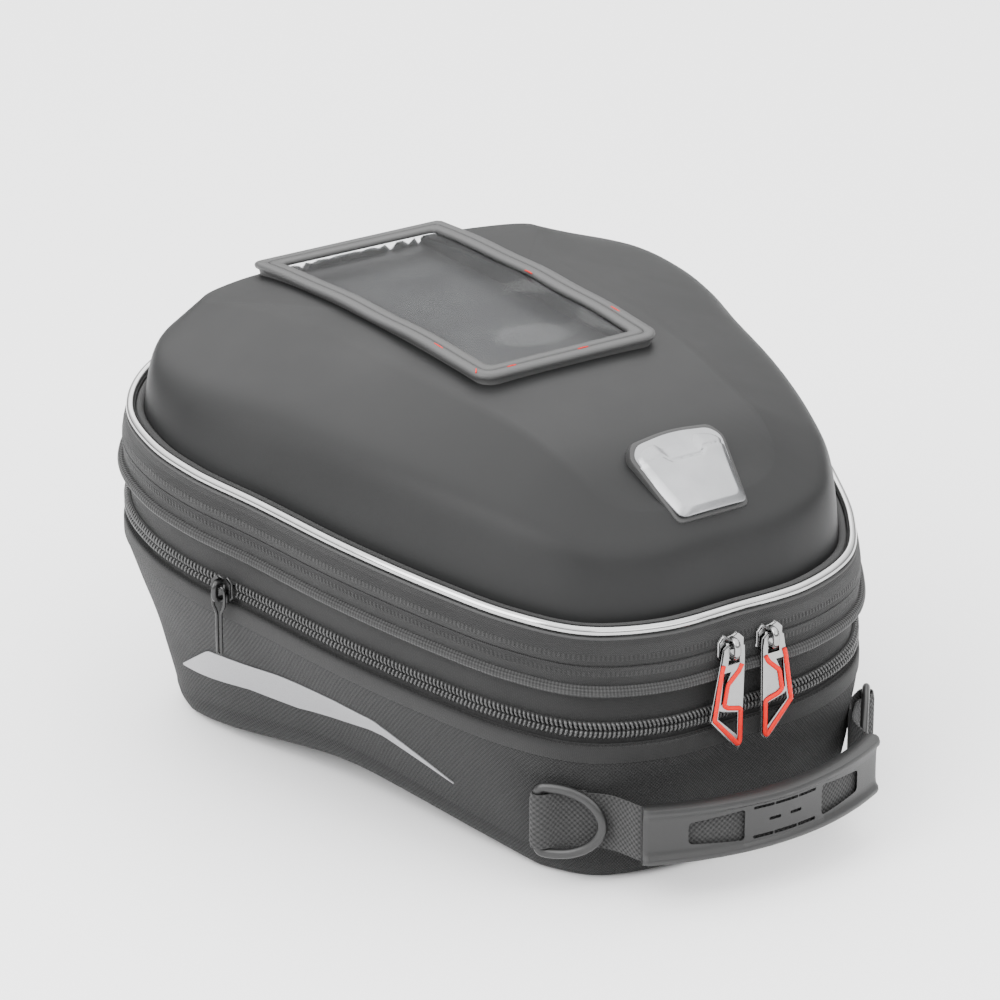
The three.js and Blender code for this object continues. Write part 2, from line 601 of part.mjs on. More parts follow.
const bandProfile = [[-3.8, -42], [-0.6, -42], [-0.6, -27.6], [1.6, -27.6], [1.6, -17.4], [-3.8, -17.4]];
add('band_frame', rimRing(bandProfile), FINISH.nylon);
add('expansion_tape_upper', rimRing(box(-0.2, 0.9, -EXPANSION_ZIP + ZIP_SPLIT, -27.9)), FINISH.tape);
const upperCoil = [-EXPANSION_ZIP + ZIP_SPLIT, -EXPANSION_ZIP + ZIP_SPLIT + COIL_HEIGHT];
add('expansion_coil_upper', rimRing(box(1.2, COIL_FACE, ...upperCoil)), FINISH.coil);
add('braided_piping', rimRing(round(4.4, -25, 2.3)), FINISH.nylon);
const lowerTape = [[2.2, -22.3], [3.9, -22.3], [4.3, -MAIN_ZIP - ZIP_SPLIT], [2.6, -MAIN_ZIP - ZIP_SPLIT]];
add('main_tape_lower', rimRing(lowerTape), FINISH.tape);
add('main_coil_lower', rimRing(box(-0.8, 1.7, -17, -MAIN_ZIP - ZIP_SPLIT)), FINISH.coil);

add('lid_shell', lidShell(), FINISH.rubberised);
add('lid_frame', rimRing([[-9.4, -9.6], [-1.2, -9.6], [-1.2, -3.4], [-9.4, -3.4]]), FINISH.plastic);
add('lid_binding', rimRing([[-9.4, -3.1], [-2.6, -3.1], [-2.6, -0.8], [-5.6, -0.3]]), FINISH.tape);
add('silver_piping', rimRing(round(0, 0, 2)), FINISH.silver);
const upperTape = [[2.6, -MAIN_ZIP + ZIP_SPLIT], [4.3, -MAIN_ZIP + ZIP_SPLIT], [2.4, -2.4], [0.8, -2.7]];
add('main_tape_upper', rimRing(upperTape), FINISH.tape);
add('main_coil_upper', rimRing(box(-0.8, 1.7, -MAIN_ZIP + ZIP_SPLIT, -10.4)), FINISH.coil);
add('pocket_frame', pocketFrame(), FINISH.rubber);
add('pocket_window', pocketWindow(), FINISH.clear);
add('pocket_welt', pocketWelt(), FINISH.rubber);
add('badge_base', badgeBase(), FINISH.plastic);
add('badge_plate', badgePlate(), FINISH.aluminium);

addMainSlider('left', 1, -7.5);
addMainSlider('right', -1, 13);
addExpansionSlider();
add('d_ring_left', dRing(), FINISH.plastic);
add('d_ring_right', mirrored(dRing()), FINISH.plastic);
add('handle_strap', handleStrap(), FINISH.nylon);
add('handle_grip', handleGrip(), FINISH.rubber);

export default bag;
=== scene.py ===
"""Looks of the tank bag: fabric, shells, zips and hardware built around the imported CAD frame."""

import math

import bmesh
import bpy
import numpy as np
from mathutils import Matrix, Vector


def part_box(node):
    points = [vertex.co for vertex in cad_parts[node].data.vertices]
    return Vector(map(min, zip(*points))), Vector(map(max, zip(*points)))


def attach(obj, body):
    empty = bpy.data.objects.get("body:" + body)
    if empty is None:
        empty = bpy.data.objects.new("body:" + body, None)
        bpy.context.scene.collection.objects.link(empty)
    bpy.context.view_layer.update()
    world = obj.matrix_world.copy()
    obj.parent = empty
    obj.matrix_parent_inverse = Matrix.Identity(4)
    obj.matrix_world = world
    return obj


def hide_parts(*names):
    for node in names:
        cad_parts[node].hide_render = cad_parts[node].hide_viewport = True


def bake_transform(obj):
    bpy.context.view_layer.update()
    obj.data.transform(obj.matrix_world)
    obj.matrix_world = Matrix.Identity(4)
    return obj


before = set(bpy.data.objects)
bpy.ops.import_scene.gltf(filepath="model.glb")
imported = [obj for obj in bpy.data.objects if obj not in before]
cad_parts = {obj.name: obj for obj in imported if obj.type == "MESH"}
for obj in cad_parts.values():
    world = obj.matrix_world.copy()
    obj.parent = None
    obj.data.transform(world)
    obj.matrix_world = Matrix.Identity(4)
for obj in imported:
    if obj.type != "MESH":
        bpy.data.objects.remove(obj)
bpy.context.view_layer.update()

MM = 0.001

# The part is drawn in millimetres about its lock plate, which marks the middle of the plan.
lock_low, lock_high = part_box("lock_plate")
SHIFT_Y = (lock_low[1] + lock_high[1]) / 2 / MM

# Heights with no other note are measured from the rim plane, which tilts up towards the hinge.
RIM_HEIGHT = 139  # at the middle of the plan
RIM_SLOPE = 0.16
# Half outlines, as (x, y) from the middle of the grip's end to the middle of the hinge's end.
RIM_HALF = [[0, -147], [38, -146], [70, -134], [90, -111], [106, -79], [123, -35], [137, 12],
            [148, 46], [151, 74], [144, 104], [119, 132], [71, 153], [0, 160]]
BASE_HALF = [[0, -147], [36, -146.5], [64, -137], [78, -117], [86, -88], [95, -48], [104, -6],
             [113, 36], [120, 74], [119, 108], [104, 135], [60, 149], [0, 152]]
CREASE_HALF = [[0, -124], [28, -123], [44, -114], [50, -97], [53, -70], [59, -32], [64, 8],
               [66, 46], [71, 84], [82, 112], [90, 130], [60, 146], [0, 149]]
# The ridge between the lid's sides and its top, as (y, height over RIM_HEIGHT).
CREASE_HEIGHT = [[-124, 15], [-113, 24.5], [-100, 33.5], [-75, 40.5], [-50, 44.5], [-25, 47], [0, 48.5],
                 [25, 50], [50, 50.8], [75, 51], [100, 50.8], [125, 50], [160, 46.5]]
# How squarely the lid's sides rise, at even steps from the grip's end to the hinge's end.
SIDE_SQUARENESS = [2.6, 2.8, 3.4, 4, 3.8, 3.4, 3.2, 3.2, 3.6, 4.4, 4.8, 4.4, 4]
ARCH_HEIGHT = 12  # of the base's middle over the ground
ARCH_FRONT = -112
ARCH_REAR = 106
BASE_RADIUS = 12
MAIN_ZIP = -13.8
EXPANSION_ZIP = -43.7
HINGE_Y = 164
TUB_TOP = -50.5
COLLAR_HEIGHT = 8
COLLAR_OFFSET = 4.2
ROUND = 288  # stations round the bag


# ---- curves
def catmull(points, count, closed=True):
    """Centripetal Catmull-Rom through the points, count stations in all."""
    p = np.asarray(points, float)
    spans = len(p) if closed else len(p) - 1
    places = np.arange(count) / count * spans if closed else np.linspace(0, spans, count)
    out = []
    for place in places:
        k = min(int(place), spans - 1)
        t = place - k
        if closed:
            x0, x1, x2, x3 = (p[(k + j) % spans] for j in (-1, 0, 1, 2))
        else:
            x1, x2 = p[k], p[k + 1]
            x0 = p[k - 1] if k else 2 * x1 - x2
            x3 = p[k + 2] if k + 2 < len(p) else 2 * x2 - x1
        d0, d1, d2 = (max(np.linalg.norm(b - a), 1e-6) ** 0.5 for a, b in ((x0, x1), (x1, x2), (x2, x3)))
        m1 = ((x1 - x0) / d0 - (x2 - x0) / (d0 + d1) + (x2 - x1) / d1) * d1
        m2 = ((x2 - x1) / d1 - (x3 - x1) / (d1 + d2) + (x3 - x2) / d2) * d1
        out.append(x1 + t * m1 + t * t * (3 * (x2 - x1) - 2 * m1 - m2) + t ** 3 * (2 * (x1 - x2) + m1 + m2))
    return np.array(out)


def whole(half):
    """The closed outline: the right half from front to rear, then its mirror image back."""
    return half + [[-x, y] for x, y in half[-2:0:-1]]


def unit(rows):
    """Each row scaled to length 1."""
    return rows / np.linalg.norm(rows, axis=-1, keepdims=True)


def normals_2d(loop):
    along = unit(np.roll(loop, -1, 0) - np.roll(loop, 1, 0))
    return np.stack([along[:, 1], -along[:, 0]], 1)


def distances(path):
    """How far along the path each of its points lies."""
    return np.concatenate([[0], np.cumsum(np.linalg.norm(np.diff(path, axis=0), axis=1))])


def evenly(loop, count):
    """The closed loop as count points at equal distances."""
    closed = np.vstack([loop, loop[:1]])
    arc = distances(closed)
    at = np.arange(count) / count * arc[-1]
    return np.column_stack([np.interp(at, arc, closed[:, k]) for k in (0, 1)])


def fillet(path, radius, closed=False, steps=5, room=2.1):
    """A path of straight runs with its corners rounded, each by a run's length / room at most."""
    p = np.asarray(path, float)
    radii = np.broadcast_to(radius, len(p))
    out = []
    for k, corner in enumerate(p):
        if not closed and k in (0, len(p) - 1):
            out.append(corner)
            continue
        runs = p[k - 1] - corner, p[(k + 1) % len(p)] - corner
        reach = min(radii[k], *(np.linalg.norm(run) / room for run in runs))
        a, b = (corner + unit(run) * reach for run in runs)
        out += [(1 - t) ** 2 * a + 2 * t * (1 - t) * corner + t * t * b for t in np.linspace(0, 1, steps)]
    return np.array(out)


def outline(half, offset=0):
    loop = catmull(whole(half), ROUND)
    return loop + normals_2d(loop) * offset


def with_z(loop, z):
    return np.column_stack([loop, np.broadcast_to(z, len(loop))])


def rim_z(y):
    return RIM_HEIGHT + RIM_SLOPE * y


def rim_loop(offset, height):
    loop = outline(RIM_HALF, offset)
    return with_z(loop, rim_z(loop[:, 1]) + height)


def table(pairs, x):
    return np.interp(x, [p[0] for p in pairs], [p[1] for p in pairs])


def smooth_table(pairs, x):
    """The table's straight runs, rounded where they meet."""
    return sum(table(pairs, x + d) for d in (-12, -8, -4, 0, 4, 8, 12)) / 7


# Arc length round the rim, so that teeth, stitches and weaves keep their pitch.
RIM_POINTS = 2880
rim_dense = catmull(whole(RIM_HALF), RIM_POINTS)
rim_track = np.hstack([rim_dense, normals_2d(rim_dense)])
rim_track = np.vstack([rim_track, rim_track[:1]])
rim_arc = distances(rim_track[:, :2])
RIM_LENGTH = rim_arc[-1]


def on_rim(s, offset, height):
    """Points at arc length s, offset outward and height above the rim plane."""
    s = np.mod(s, RIM_LENGTH)
    x, y, nx, ny = (np.interp(s, rim_arc, column) for column in rim_track.T)
    x, y = x + nx * offset, y + ny * offset
    return np.stack([x, y, rim_z(y) + height], -1)


def arc_at(y, side):
    """Arc length of the rim where it passes y, on the right (1) or left (-1) side."""
    picked = np.flatnonzero(rim_dense[:, 0] * side > 0)
    return rim_arc[picked[np.argmin(abs(rim_dense[picked, 1] - y))]]


# ---- meshes
def to_frame(points):
    return (np.asarray(points, float) + (0, SHIFT_Y, 0)) * MM


def spot(x, y, z):
    return tuple(to_frame([x, y, z]))


def add_object(name, verts, faces, uv=None):
    """An object from the vertices and faces; uv is one (u, v) in millimetres for each face corner."""
    mesh = bpy.data.meshes.new(name)
    mesh.from_pydata(to_frame(verts).tolist(), [], faces)
    if uv is not None:
        layer = mesh.uv_layers.new(name="Cloth")
        layer.data.foreach_set("uv", np.asarray(uv, "f4").ravel())
    mesh.update()
    obj = bpy.data.objects.new(name, mesh)
    bpy.context.collection.objects.link(obj)
    return obj


def finish(obj, material, body, slot, replaces=(), sharp=35):
    """Outward faces, edges over the sharp angle kept crisp, then the material and body; slot is not used."""
    bm = bmesh.new()
    bm.from_mesh(obj.data)
    bmesh.ops.recalc_face_normals(bm, faces=bm.faces)
    for face in bm.faces:
        face.smooth = True
    for edge in bm.edges:
        edge.smooth = not (len(edge.link_faces) == 2 and edge.calc_face_angle(0) > math.radians(sharp))
    bm.to_mesh(obj.data)
    bm.free()
    obj.data.materials.clear()
    obj.data.materials.append(material)
    if body:
        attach(obj, body)
    if replaces:
        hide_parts(*replaces)
    return obj


def solid(name, points, u=None, v=None, closed_i=True, closed_j=True):
    """A body from a grid of points[i][j], wrapped round in i and j; each open end gets one face."""
    ni, nj = points.shape[:2]
    i = np.arange(ni if closed_i else ni - 1)
    j = np.arange(nj if closed_j else nj - 1)
    a, b = (k.ravel() for k in np.meshgrid(i, j, indexing="ij"))
    c, d = (a + 1) % ni, (b + 1) % nj
    faces = np.stack([a * nj + b, c * nj + b, c * nj + d, a * nj + d], 1).tolist()
    if u is None:
        loops = np.vstack([points, points[:1]]) if closed_i else points
        step = np.linalg.norm(np.diff(loops, axis=0), axis=2).mean(1)
        u = np.concatenate([[0], np.cumsum(step)])
    if v is None:
        across = np.concatenate([points, points[:, :1]], 1) if closed_j else points
        step = np.linalg.norm(np.diff(across, axis=1), axis=2).mean(0)
        v = np.concatenate([[0], np.cumsum(step)])[None].repeat(ni, 0)
    corners = [(u[a], v[a, b]), (u[a + 1], v[c, b]), (u[a + 1], v[c, b + 1]), (u[a], v[a, b + 1])]
    uv = np.stack([np.stack(pair, 1) for pair in corners], 1).reshape(-1, 2)
    ends = [] if closed_i else [range(nj), range((ni - 1) * nj, ni * nj)]
    ends += [] if closed_j else [range(0, ni * nj, nj), range(nj - 1, ni * nj, nj)]
    for ids in ends:
        faces.append(list(ids))
        uv = np.vstack([uv, np.zeros((len(ids), 2))])
    return add_object(name, points.reshape(-1, 3), faces, uv)


def rounded(profile, radius=0.5, steps=3):
    """A closed profile with its corners cut round."""
    return fillet(profile, radius, True, steps, 2.2)


def circle(offset, height, radius, sides=14):
    turn = np.arange(sides) / sides * 2 * math.pi
    return np.stack([offset + radius * np.cos(turn), height + radius * np.sin(turn)], 1)


def ring(name, profile, stations=ROUND * 2, span=None):
    """A profile of (offset, height) carried round the rim, or over a span of arc lengths."""
    closed = span is None
    s = np.arange(stations) / stations * RIM_LENGTH if closed else np.linspace(*span, stations)
    points = np.stack([on_rim(s, o, h) for o, h in profile], 1)
    u = np.append(s, RIM_LENGTH) if closed else s
    return solid(name, points, u=u, closed_i=closed)


def loft(name, loops):
    """Loops joined in turn round the bag; the first and last are closed by a face."""
    points = np.stack(loops, 1)
    girths = np.linalg.norm(np.roll(points, -1, 0) - points, axis=2)
    widest = int(np.argmax(girths.sum(0)))
    u = np.concatenate([[0], np.cumsum(girths[:, widest])])
    climb = np.linalg.norm(np.diff(points, axis=1), axis=2)
    v = np.concatenate([np.zeros((ROUND, 1)), np.cumsum(climb, 1)], 1)
    v -= v[:, widest:widest + 1]
    return solid(name, points, u=u, v=v, closed_j=False)


def tube(name, path, radius, sides=12, closed=False, flat=1.0, up=(0, 0, 1)):
    """A bar along a path of points; flat squeezes it along up."""
    path = np.asarray(path, float)
    along = np.gradient(path, axis=0)
    if closed:
        along = np.roll(path, -1, 0) - np.roll(path, 1, 0)
    along = unit(along)
    side = np.cross(along, up)
    side /= np.maximum(np.linalg.norm(side, axis=1), 1e-6)[:, None]
    other = np.cross(side, along)
    turn = np.arange(sides) / sides * 2 * math.pi
    radius = np.broadcast_to(radius, len(path))[:, None, None]
    points = path[:, None] + radius * (np.cos(turn)[None, :, None] * side[:, None]
                                       + flat * np.sin(turn)[None, :, None] * other[:, None])
    return solid(name, points, closed_i=closed)


def apply_modifiers(obj):
    depsgraph = bpy.context.evaluated_depsgraph_get()
    mesh = bpy.data.meshes.new_from_object(obj.evaluated_get(depsgraph))
    obj.modifiers.clear()
    obj.data = mesh


def carve(obj, cutters):
    for cutter in cutters:
        step = obj.modifiers.new("cut", "BOOLEAN")
        step.operation = "DIFFERENCE"
        step.solver = "EXACT"
        step.object = cutter
    bpy.context.view_layer.update()
    apply_modifiers(obj)
    for cutter in cutters:
        bpy.data.objects.remove(cutter)


def prism(shape, depth):
    """A flat shape in X and Z, drawn out from y 0 to y -depth."""
    shape = np.asarray(shape, float)
    n = len(shape)
    near = np.column_stack([shape[:, 0], np.zeros(n), shape[:, 1]])
    verts = np.vstack([near, near - (0, depth, 0)])
    faces = [list(range(n)), list(range(2 * n - 1, n - 1, -1))]
    faces += [[k, (k + 1) % n, n + (k + 1) % n, n + k] for k in range(n)]
    return verts, faces


def bevel(obj, width, segments):
    step = obj.modifiers.new("bevel", "BEVEL")
    step.width = width * MM
    step.segments = segments
    step.limit_method = "ANGLE"
    step.angle_limit = math.radians(30)
    bpy.context.view_layer.update()
    apply_modifiers(obj)


def joined(name, objects):
    """Several meshes as one object."""
    bm = bmesh.new()
    for obj in objects:
        bm.from_mesh(obj.data)
        bpy.data.objects.remove(obj)
    mesh = bpy.data.meshes.new(name)
    bm.to_mesh(mesh)
    bm.free()
    obj = bpy.data.objects.new(name, mesh)
    bpy.context.collection.objects.link(obj)
    return obj


# ---- materials
class Surface:
    """A principled material with a few short ways to build its pattern."""

    def __init__(self, name, rough, metal=0.0, coat=0.0, sheen=0.0, clear=0.0):
        self.material = bpy.data.materials.new(name)
        self.material.use_nodes = True
        self.tree = self.material.node_tree
        self.shader = self.tree.nodes["Principled BSDF"]
        for socket, value in (("Roughness", rough), ("Metallic", metal), ("Coat Weight", coat),
                              ("Sheen Weight", sheen), ("Transmission Weight", clear),
                              ("Specular IOR Level", 0.5 if metal or clear else 0.3)):
            self.shader.inputs[socket].default_value = value

    def node(self, kind, feeds, **settings):
        """A new node; each of its fed inputs takes a constant or another node's output."""
        made = self.tree.nodes.new(kind)
        for key, value in settings.items():
            setattr(made, key, value)
        for socket, value in feeds.items():
            if isinstance(value, bpy.types.NodeSocket):
                self.tree.links.new(value, made.inputs[socket])
            else:
                made.inputs[socket].default_value = value
        return made

    def link(self, output, socket):
        self.tree.links.new(output, self.shader.inputs[socket])

    def math(self, operation, *values):
        return self.node("ShaderNodeMath", dict(enumerate(values)), operation=operation).outputs[0]

    def scaled(self, value, factor, shift):
        """value * factor + shift."""
        return self.math("MULTIPLY_ADD", value, factor, shift)

    def cloth(self):
        """The two cloth coordinates in millimetres."""
        source = self.node("ShaderNodeUVMap", {}, uv_map="Cloth").outputs[0]
        parts = self.node("ShaderNodeSeparateXYZ", {0: source})
        return parts.outputs[0], parts.outputs[1]

    def place(self):
        return self.node("ShaderNodeTexCoord", {}).outputs["Object"]

    def noise(self, scale, detail=3.0, rough=0.55):
        """Noise in space; scale is the size of its features in millimetres."""
        feeds = {"Vector": self.place(), "Scale": 1000 / scale, "Detail": detail, "Roughness": rough}
        return self.node("ShaderNodeTexNoise", feeds).outputs["Fac"]

    def wave(self, value, pitch):
        """A sine of the value, one turn for each pitch, from -1 to 1."""
        return self.math("SINE", self.math("MULTIPLY", value, 2 * math.pi / pitch))

    def between(self, value, low, high, soft):
        """1 where the value lies between low and high, 0 outside, with soft edges."""
        sides = []
        for start, end in ((low - soft, low + soft), (high + soft, high - soft)):
            feeds = {"Value": value, "From Min": start, "From Max": end}
            sides.append(self.node("ShaderNodeMapRange", feeds, interpolation_type="SMOOTHSTEP").outputs[0])
        return self.math("MULTIPLY", *sides)

    def colour(self, dark, light, mix):
        """The base colour, from dark to light as mix goes from 0 to 1."""
        feeds = {0: mix, 6: (*dark, 1), 7: (*light, 1)}
        made = self.node("ShaderNodeMix", feeds, data_type="RGBA", clamp_factor=True)
        self.link(made.outputs[2], "Base Color")

    def rough(self, low, high, mix):
        made = self.node("ShaderNodeMapRange", {"Value": mix, "To Min": low, "To Max": high})
        self.link(made.outputs[0], "Roughness")

    def bump(self, height, depth, strength=1.0):
        """Relief: height runs from 0 to 1 over depth millimetres."""
        feeds = {"Height": height, "Distance": depth * MM, "Strength": strength}
        self.link(self.node("ShaderNodeBump", feeds).outputs[0], "Normal")


def grey(value, tint=0.0):
    """A neutral colour, a little cooler with more tint."""
    return value * (1 - tint), value, value * (1 + tint)


def weave_cloth(name, pitch, dark, light, depth, rough=0.75, sheen=0.25):
    """Basket weave: the threads cross in a chequer, with broad uneven wear over it."""
    made = Surface(name, rough, sheen=sheen)
    u, v = made.cloth()
    drift = made.math("MULTIPLY", made.noise(60, 1), pitch * 1.5)
    u, v = made.math("ADD", u, drift), made.math("ADD", v, drift)
    chequer = made.math("MULTIPLY", made.wave(u, pitch * 2), made.wave(v, pitch * 2))
    threads = made.math("MULTIPLY", made.wave(u, pitch / 2), made.wave(v, pitch / 2))
    weave = made.scaled(threads, 0.12, made.scaled(chequer, 0.38, 0.5))
    fuzz = made.scaled(made.noise(0.6), 0.2, weave)
    broad = made.scaled(made.noise(60, 2), 0.3, made.math("ADD", fuzz, -0.2))
    made.colour(dark, light, broad)
    made.rough(rough + 0.1, rough - 0.12, weave)
    made.bump(made.scaled(made.noise(0.5), 0.2, weave), depth)
    return made.material


def twill_cloth(name, pitch, chevron, dark, light, depth, stitches=(), dots=()):
    """Herringbone twill: slanting ribs that turn back every chevron, with rows of stitches."""
    made = Surface(name, 0.72, sheen=0.08)
    u, v = made.cloth()
    zigzag = made.math("PINGPONG", v, chevron)
    slant = made.scaled(zigzag, 1.15, u)
    rib = made.scaled(made.wave(slant, pitch), 0.5, 0.5)
    cross = made.scaled(made.wave(v, pitch * 0.8), 0.5, 0.5)
    height = made.scaled(cross, 0.25, made.math("MULTIPLY", rib, 0.75))
    tone = made.scaled(made.noise(30, 2), 0.45, made.scaled(height, 0.6, -0.12))
    for low, high, step in stitches:
        row = made.between(v, low, high, 0.25)
        dash = made.scaled(made.wave(u, step), 0.5, 0.5)
        lift = made.math("MULTIPLY", row, dash)
        height = made.scaled(lift, 1.1, height)
        tone = made.scaled(lift, 0.45, tone)
        tone = made.scaled(row, -0.18, tone)
    for low, high, step in dots:
        gap = made.scaled(made.wave(u, step), 0.5, 0.6)
        hole = made.math("MULTIPLY", made.between(v, low, high, 0.12), gap)
        tone = made.scaled(hole, -1.4, tone)
    made.colour(dark, light, tone)
    made.bump(height, depth)
    return made.material


def braid_cloth(name, dark, light):
    """Braided cord: two sets of strands that cross in diamonds."""
    made = Surface(name, 0.62, sheen=0.08)
    u, v = made.cloth()
    left = made.wave(made.scaled(v, 0.9, u), 2.8)
    right = made.wave(made.scaled(v, -0.9, u), 2.8)
    strands = made.scaled(made.math("MULTIPLY", left, right), 0.5, 0.5)
    tone = made.scaled(made.noise(12), 0.3, made.math("ADD", strands, -0.15))
    made.colour(dark, light, tone)
    made.bump(strands, 0.5)
    return made.material


def grained(name, dark, light, rough, grain, depth, shine=0.5):
    """Moulded rubber or plastic: fine grain, broad faint smudges, lighter convex edges and painted shade in
    concave hollows.
    """
    made = Surface(name, rough)
    made.shader.inputs["Specular IOR Level"].default_value = shine
    smudge = made.noise(45, 4, 0.6)
    edge = made.node("ShaderNodeNewGeometry", {}).outputs["Pointiness"]
    # Pointiness lightens convex edges and darkens concave hollows, so the hollows get painted shade.
    edge_tone_and_hollow_shade = made.math("MULTIPLY", made.math("ADD", edge, -0.5), 2.1)
    tone = made.math("ADD", made.scaled(made.noise(grain * 3), 0.25, edge_tone_and_hollow_shade),
                     made.scaled(smudge, 0.8, -0.15))
    made.colour(dark, light, tone)
    made.rough(rough - 0.07, rough + 0.1, smudge)
    made.bump(made.noise(grain, 2), depth)
    return made.material


def metal(name, dark, light, rough, scratch=0.02, coat=0.0):
    """Plated or polished metal with faint clouding and fine scratches."""
    made = Surface(name, rough, metal=1.0, coat=coat)
    cloud = made.noise(14, 4)
    made.colour(dark, light, cloud)
    made.rough(rough * 0.7, rough * 1.35, made.noise(3, 5))
    made.bump(made.noise(0.8, 5), scratch)
    return made.material


def satin_metal(name):
    """Satin brushed aluminium: a fine bead-blasted grain that sparkles a little."""
    made = Surface(name, 0.36, metal=1.0)
    grain = made.noise(0.35, 2)
    tone = made.scaled(grain, 0.5, made.noise(20))
    made.colour((0.19, 0.193, 0.2), (0.33, 0.334, 0.342), tone)
    made.rough(0.28, 0.46, grain)
    made.bump(grain, 0.02)
    return made.material


def clear_film(name):
    """The pocket's clear film, with faint waves and dust."""
    made = Surface(name, 0.06, clear=1.0)
    made.shader.inputs["IOR"].default_value = 1.1
    dust = made.noise(9, 5, 0.7)
    made.colour((0.72, 0.73, 0.74), (0.9, 0.91, 0.92), dust)
    made.rough(0.03, 0.14, dust)
    made.bump(made.noise(22, 1), 0.3, 0.3)
    return made.material


def film_silver(name):
    """Reflective film: tiny glass beads in a fine grid."""
    made = Surface(name, 0.38, metal=0.55)
    beads = made.node("ShaderNodeTexVoronoi", {"Vector": made.place(), "Scale": 1600})
    sparkle = beads.outputs["Distance"]
    made.colour((0.34, 0.34, 0.352), (0.22, 0.22, 0.228), made.scaled(sparkle, 0.7, -0.05))
    made.bump(sparkle, 0.05)
    return made.material


NYLON = weave_cloth("ballistic_nylon", 0.9, grey(0.0), grey(0.0145, 0.01), 0.55, sheen=0.03)
LINING = weave_cloth("lining", 0.45, grey(0.003), grey(0.01), 0.08, rough=0.6, sheen=0.05)
GUSSET = weave_cloth("gusset_fabric", 0.45, grey(0.007), grey(0.022), 0.15, rough=0.55, sheen=0.08)
WEBBING = weave_cloth("webbing", 1.25, grey(0.001), grey(0.04), 1.0, sheen=0.06)
TAPE = twill_cloth("zip_tape", 0.7, 1000, grey(0.003), grey(0.016), 0.2)
HERRINGBONE = 0.9, 4.2, grey(0.001), grey(0.022), 0.35
HERRINGBONE_UPPER = twill_cloth("herringbone_upper", *HERRINGBONE, [(2.4, 4.6, 1.9)], [(-0.4, 0.55, 1.9)])
HERRINGBONE_LOWER = twill_cloth("herringbone_lower", *HERRINGBONE, [(4.6, 6.8, 1.9)], [(8.6, 9.6, 1.9)])
BAND_CLOTH = twill_cloth("band_twill", 0.8, 1000, grey(0.002), grey(0.014), 0.25)
BINDING = twill_cloth("binding_tape", 0.55, 1000, grey(0.012), grey(0.05), 0.2)
BRAID = braid_cloth("braided_trim", grey(0.001), grey(0.035))
COIL = grained("zip_coil", grey(0.008), grey(0.045), 0.26, grain=0.3, depth=0.02)
SHELL = grained("rubberised_shell", grey(0.008, 0.015), grey(0.0145, 0.015), 0.5, grain=0.35,
                depth=0.035, shine=0.22)
POCKET = grained("pocket_rubber", grey(0.028), grey(0.06), 0.5, grain=0.4, depth=0.05)
RED = grained("red_plastic", (0.42, 0.002, 0.001), (0.66, 0.008, 0.004), 0.4, grain=0.5,
              depth=0.02, shine=0.15)
GRIP = grained("grip_rubber", grey(0.003), grey(0.014), 0.44, grain=0.4, depth=0.07)
RING = grained("ring_plastic", grey(0.004), grey(0.016), 0.4, grain=0.4, depth=0.05)
BOARD = grained("board_plastic", grey(0.012), grey(0.032), 0.5, grain=0.8, depth=0.08)
LOCK = grained("lock_plastic", grey(0.014), grey(0.036), 0.45, grain=0.6, depth=0.06)
THREAD = grained("stitch_thread", grey(0.008), grey(0.03), 0.6, grain=0.3, depth=0.03)
PIPING = metal("silver_trim", grey(0.32), grey(0.5), 0.12, scratch=0.006, coat=0.3)
CHROME = metal("slider_chrome", grey(0.16), grey(0.4), 0.16)
BLADE = metal("blade_metal", grey(0.22), grey(0.34), 0.24)
BLACK_METAL = metal("black_metal", grey(0.03), grey(0.07), 0.28)
STEEL = metal("steel", grey(0.38), grey(0.62), 0.34)
BADGE = satin_metal("badge_aluminium")
FILM = clear_film("clear_window")
SILVER = film_silver("reflective_silver")


# ---- tub
def arch_z(y):
    """The base rises towards its middle, to sit on a curved tank."""
    t = np.clip(np.where(y < 0, y / ARCH_FRONT, y / ARCH_REAR), 0, 1)
    soft = 0.03
    share = (np.sqrt(t * t + soft) - math.sqrt(soft)) / (math.sqrt(1 + soft) - math.sqrt(soft))
    return ARCH_HEIGHT * (1 - share)


def sag(loop, share):
    """Sculpted softness of the wall: the front draws in, the sides belly, and creases run in."""
    x, y, z = loop.T
    bell = math.sin(math.pi * min(max(share, 0), 1))
    front = np.exp(-((y + 150) / 14) ** 2) * np.exp(-(x / 46) ** 2)
    corner = np.exp(-((np.hypot(np.abs(x) - 80, y + 126)) / 26) ** 2)
    side = np.exp(-((np.abs(x) - 118) / 30) ** 2)
    crease = np.exp(-((z - 26 - (y + 150) * 0.9) / 7) ** 2) * np.exp(-((y + 128) / 22) ** 2)
    waves = 0.45 * np.sin(x * 0.071 + z * 0.09 + y * 0.035) * np.sin(y * 0.052 - z * 0.06)
    depth = bell * (-3.2 * front + 1.1 * corner - 0.9 * side - 1.3 * crease + waves)
    moved = loop.copy()
    moved[:, :2] += normals_2d(loop[:, :2]) * depth[:, None]
    return moved


def wall_loop(share, inset=0.0):
    low_2d = outline(BASE_HALF, -inset)
    top = rim_loop(COLLAR_OFFSET - inset, TUB_TOP - COLLAR_HEIGHT)
    low = with_z(low_2d, arch_z(low_2d[:, 1]) + BASE_RADIUS)
    return sag(low + (top - low) * share, share)


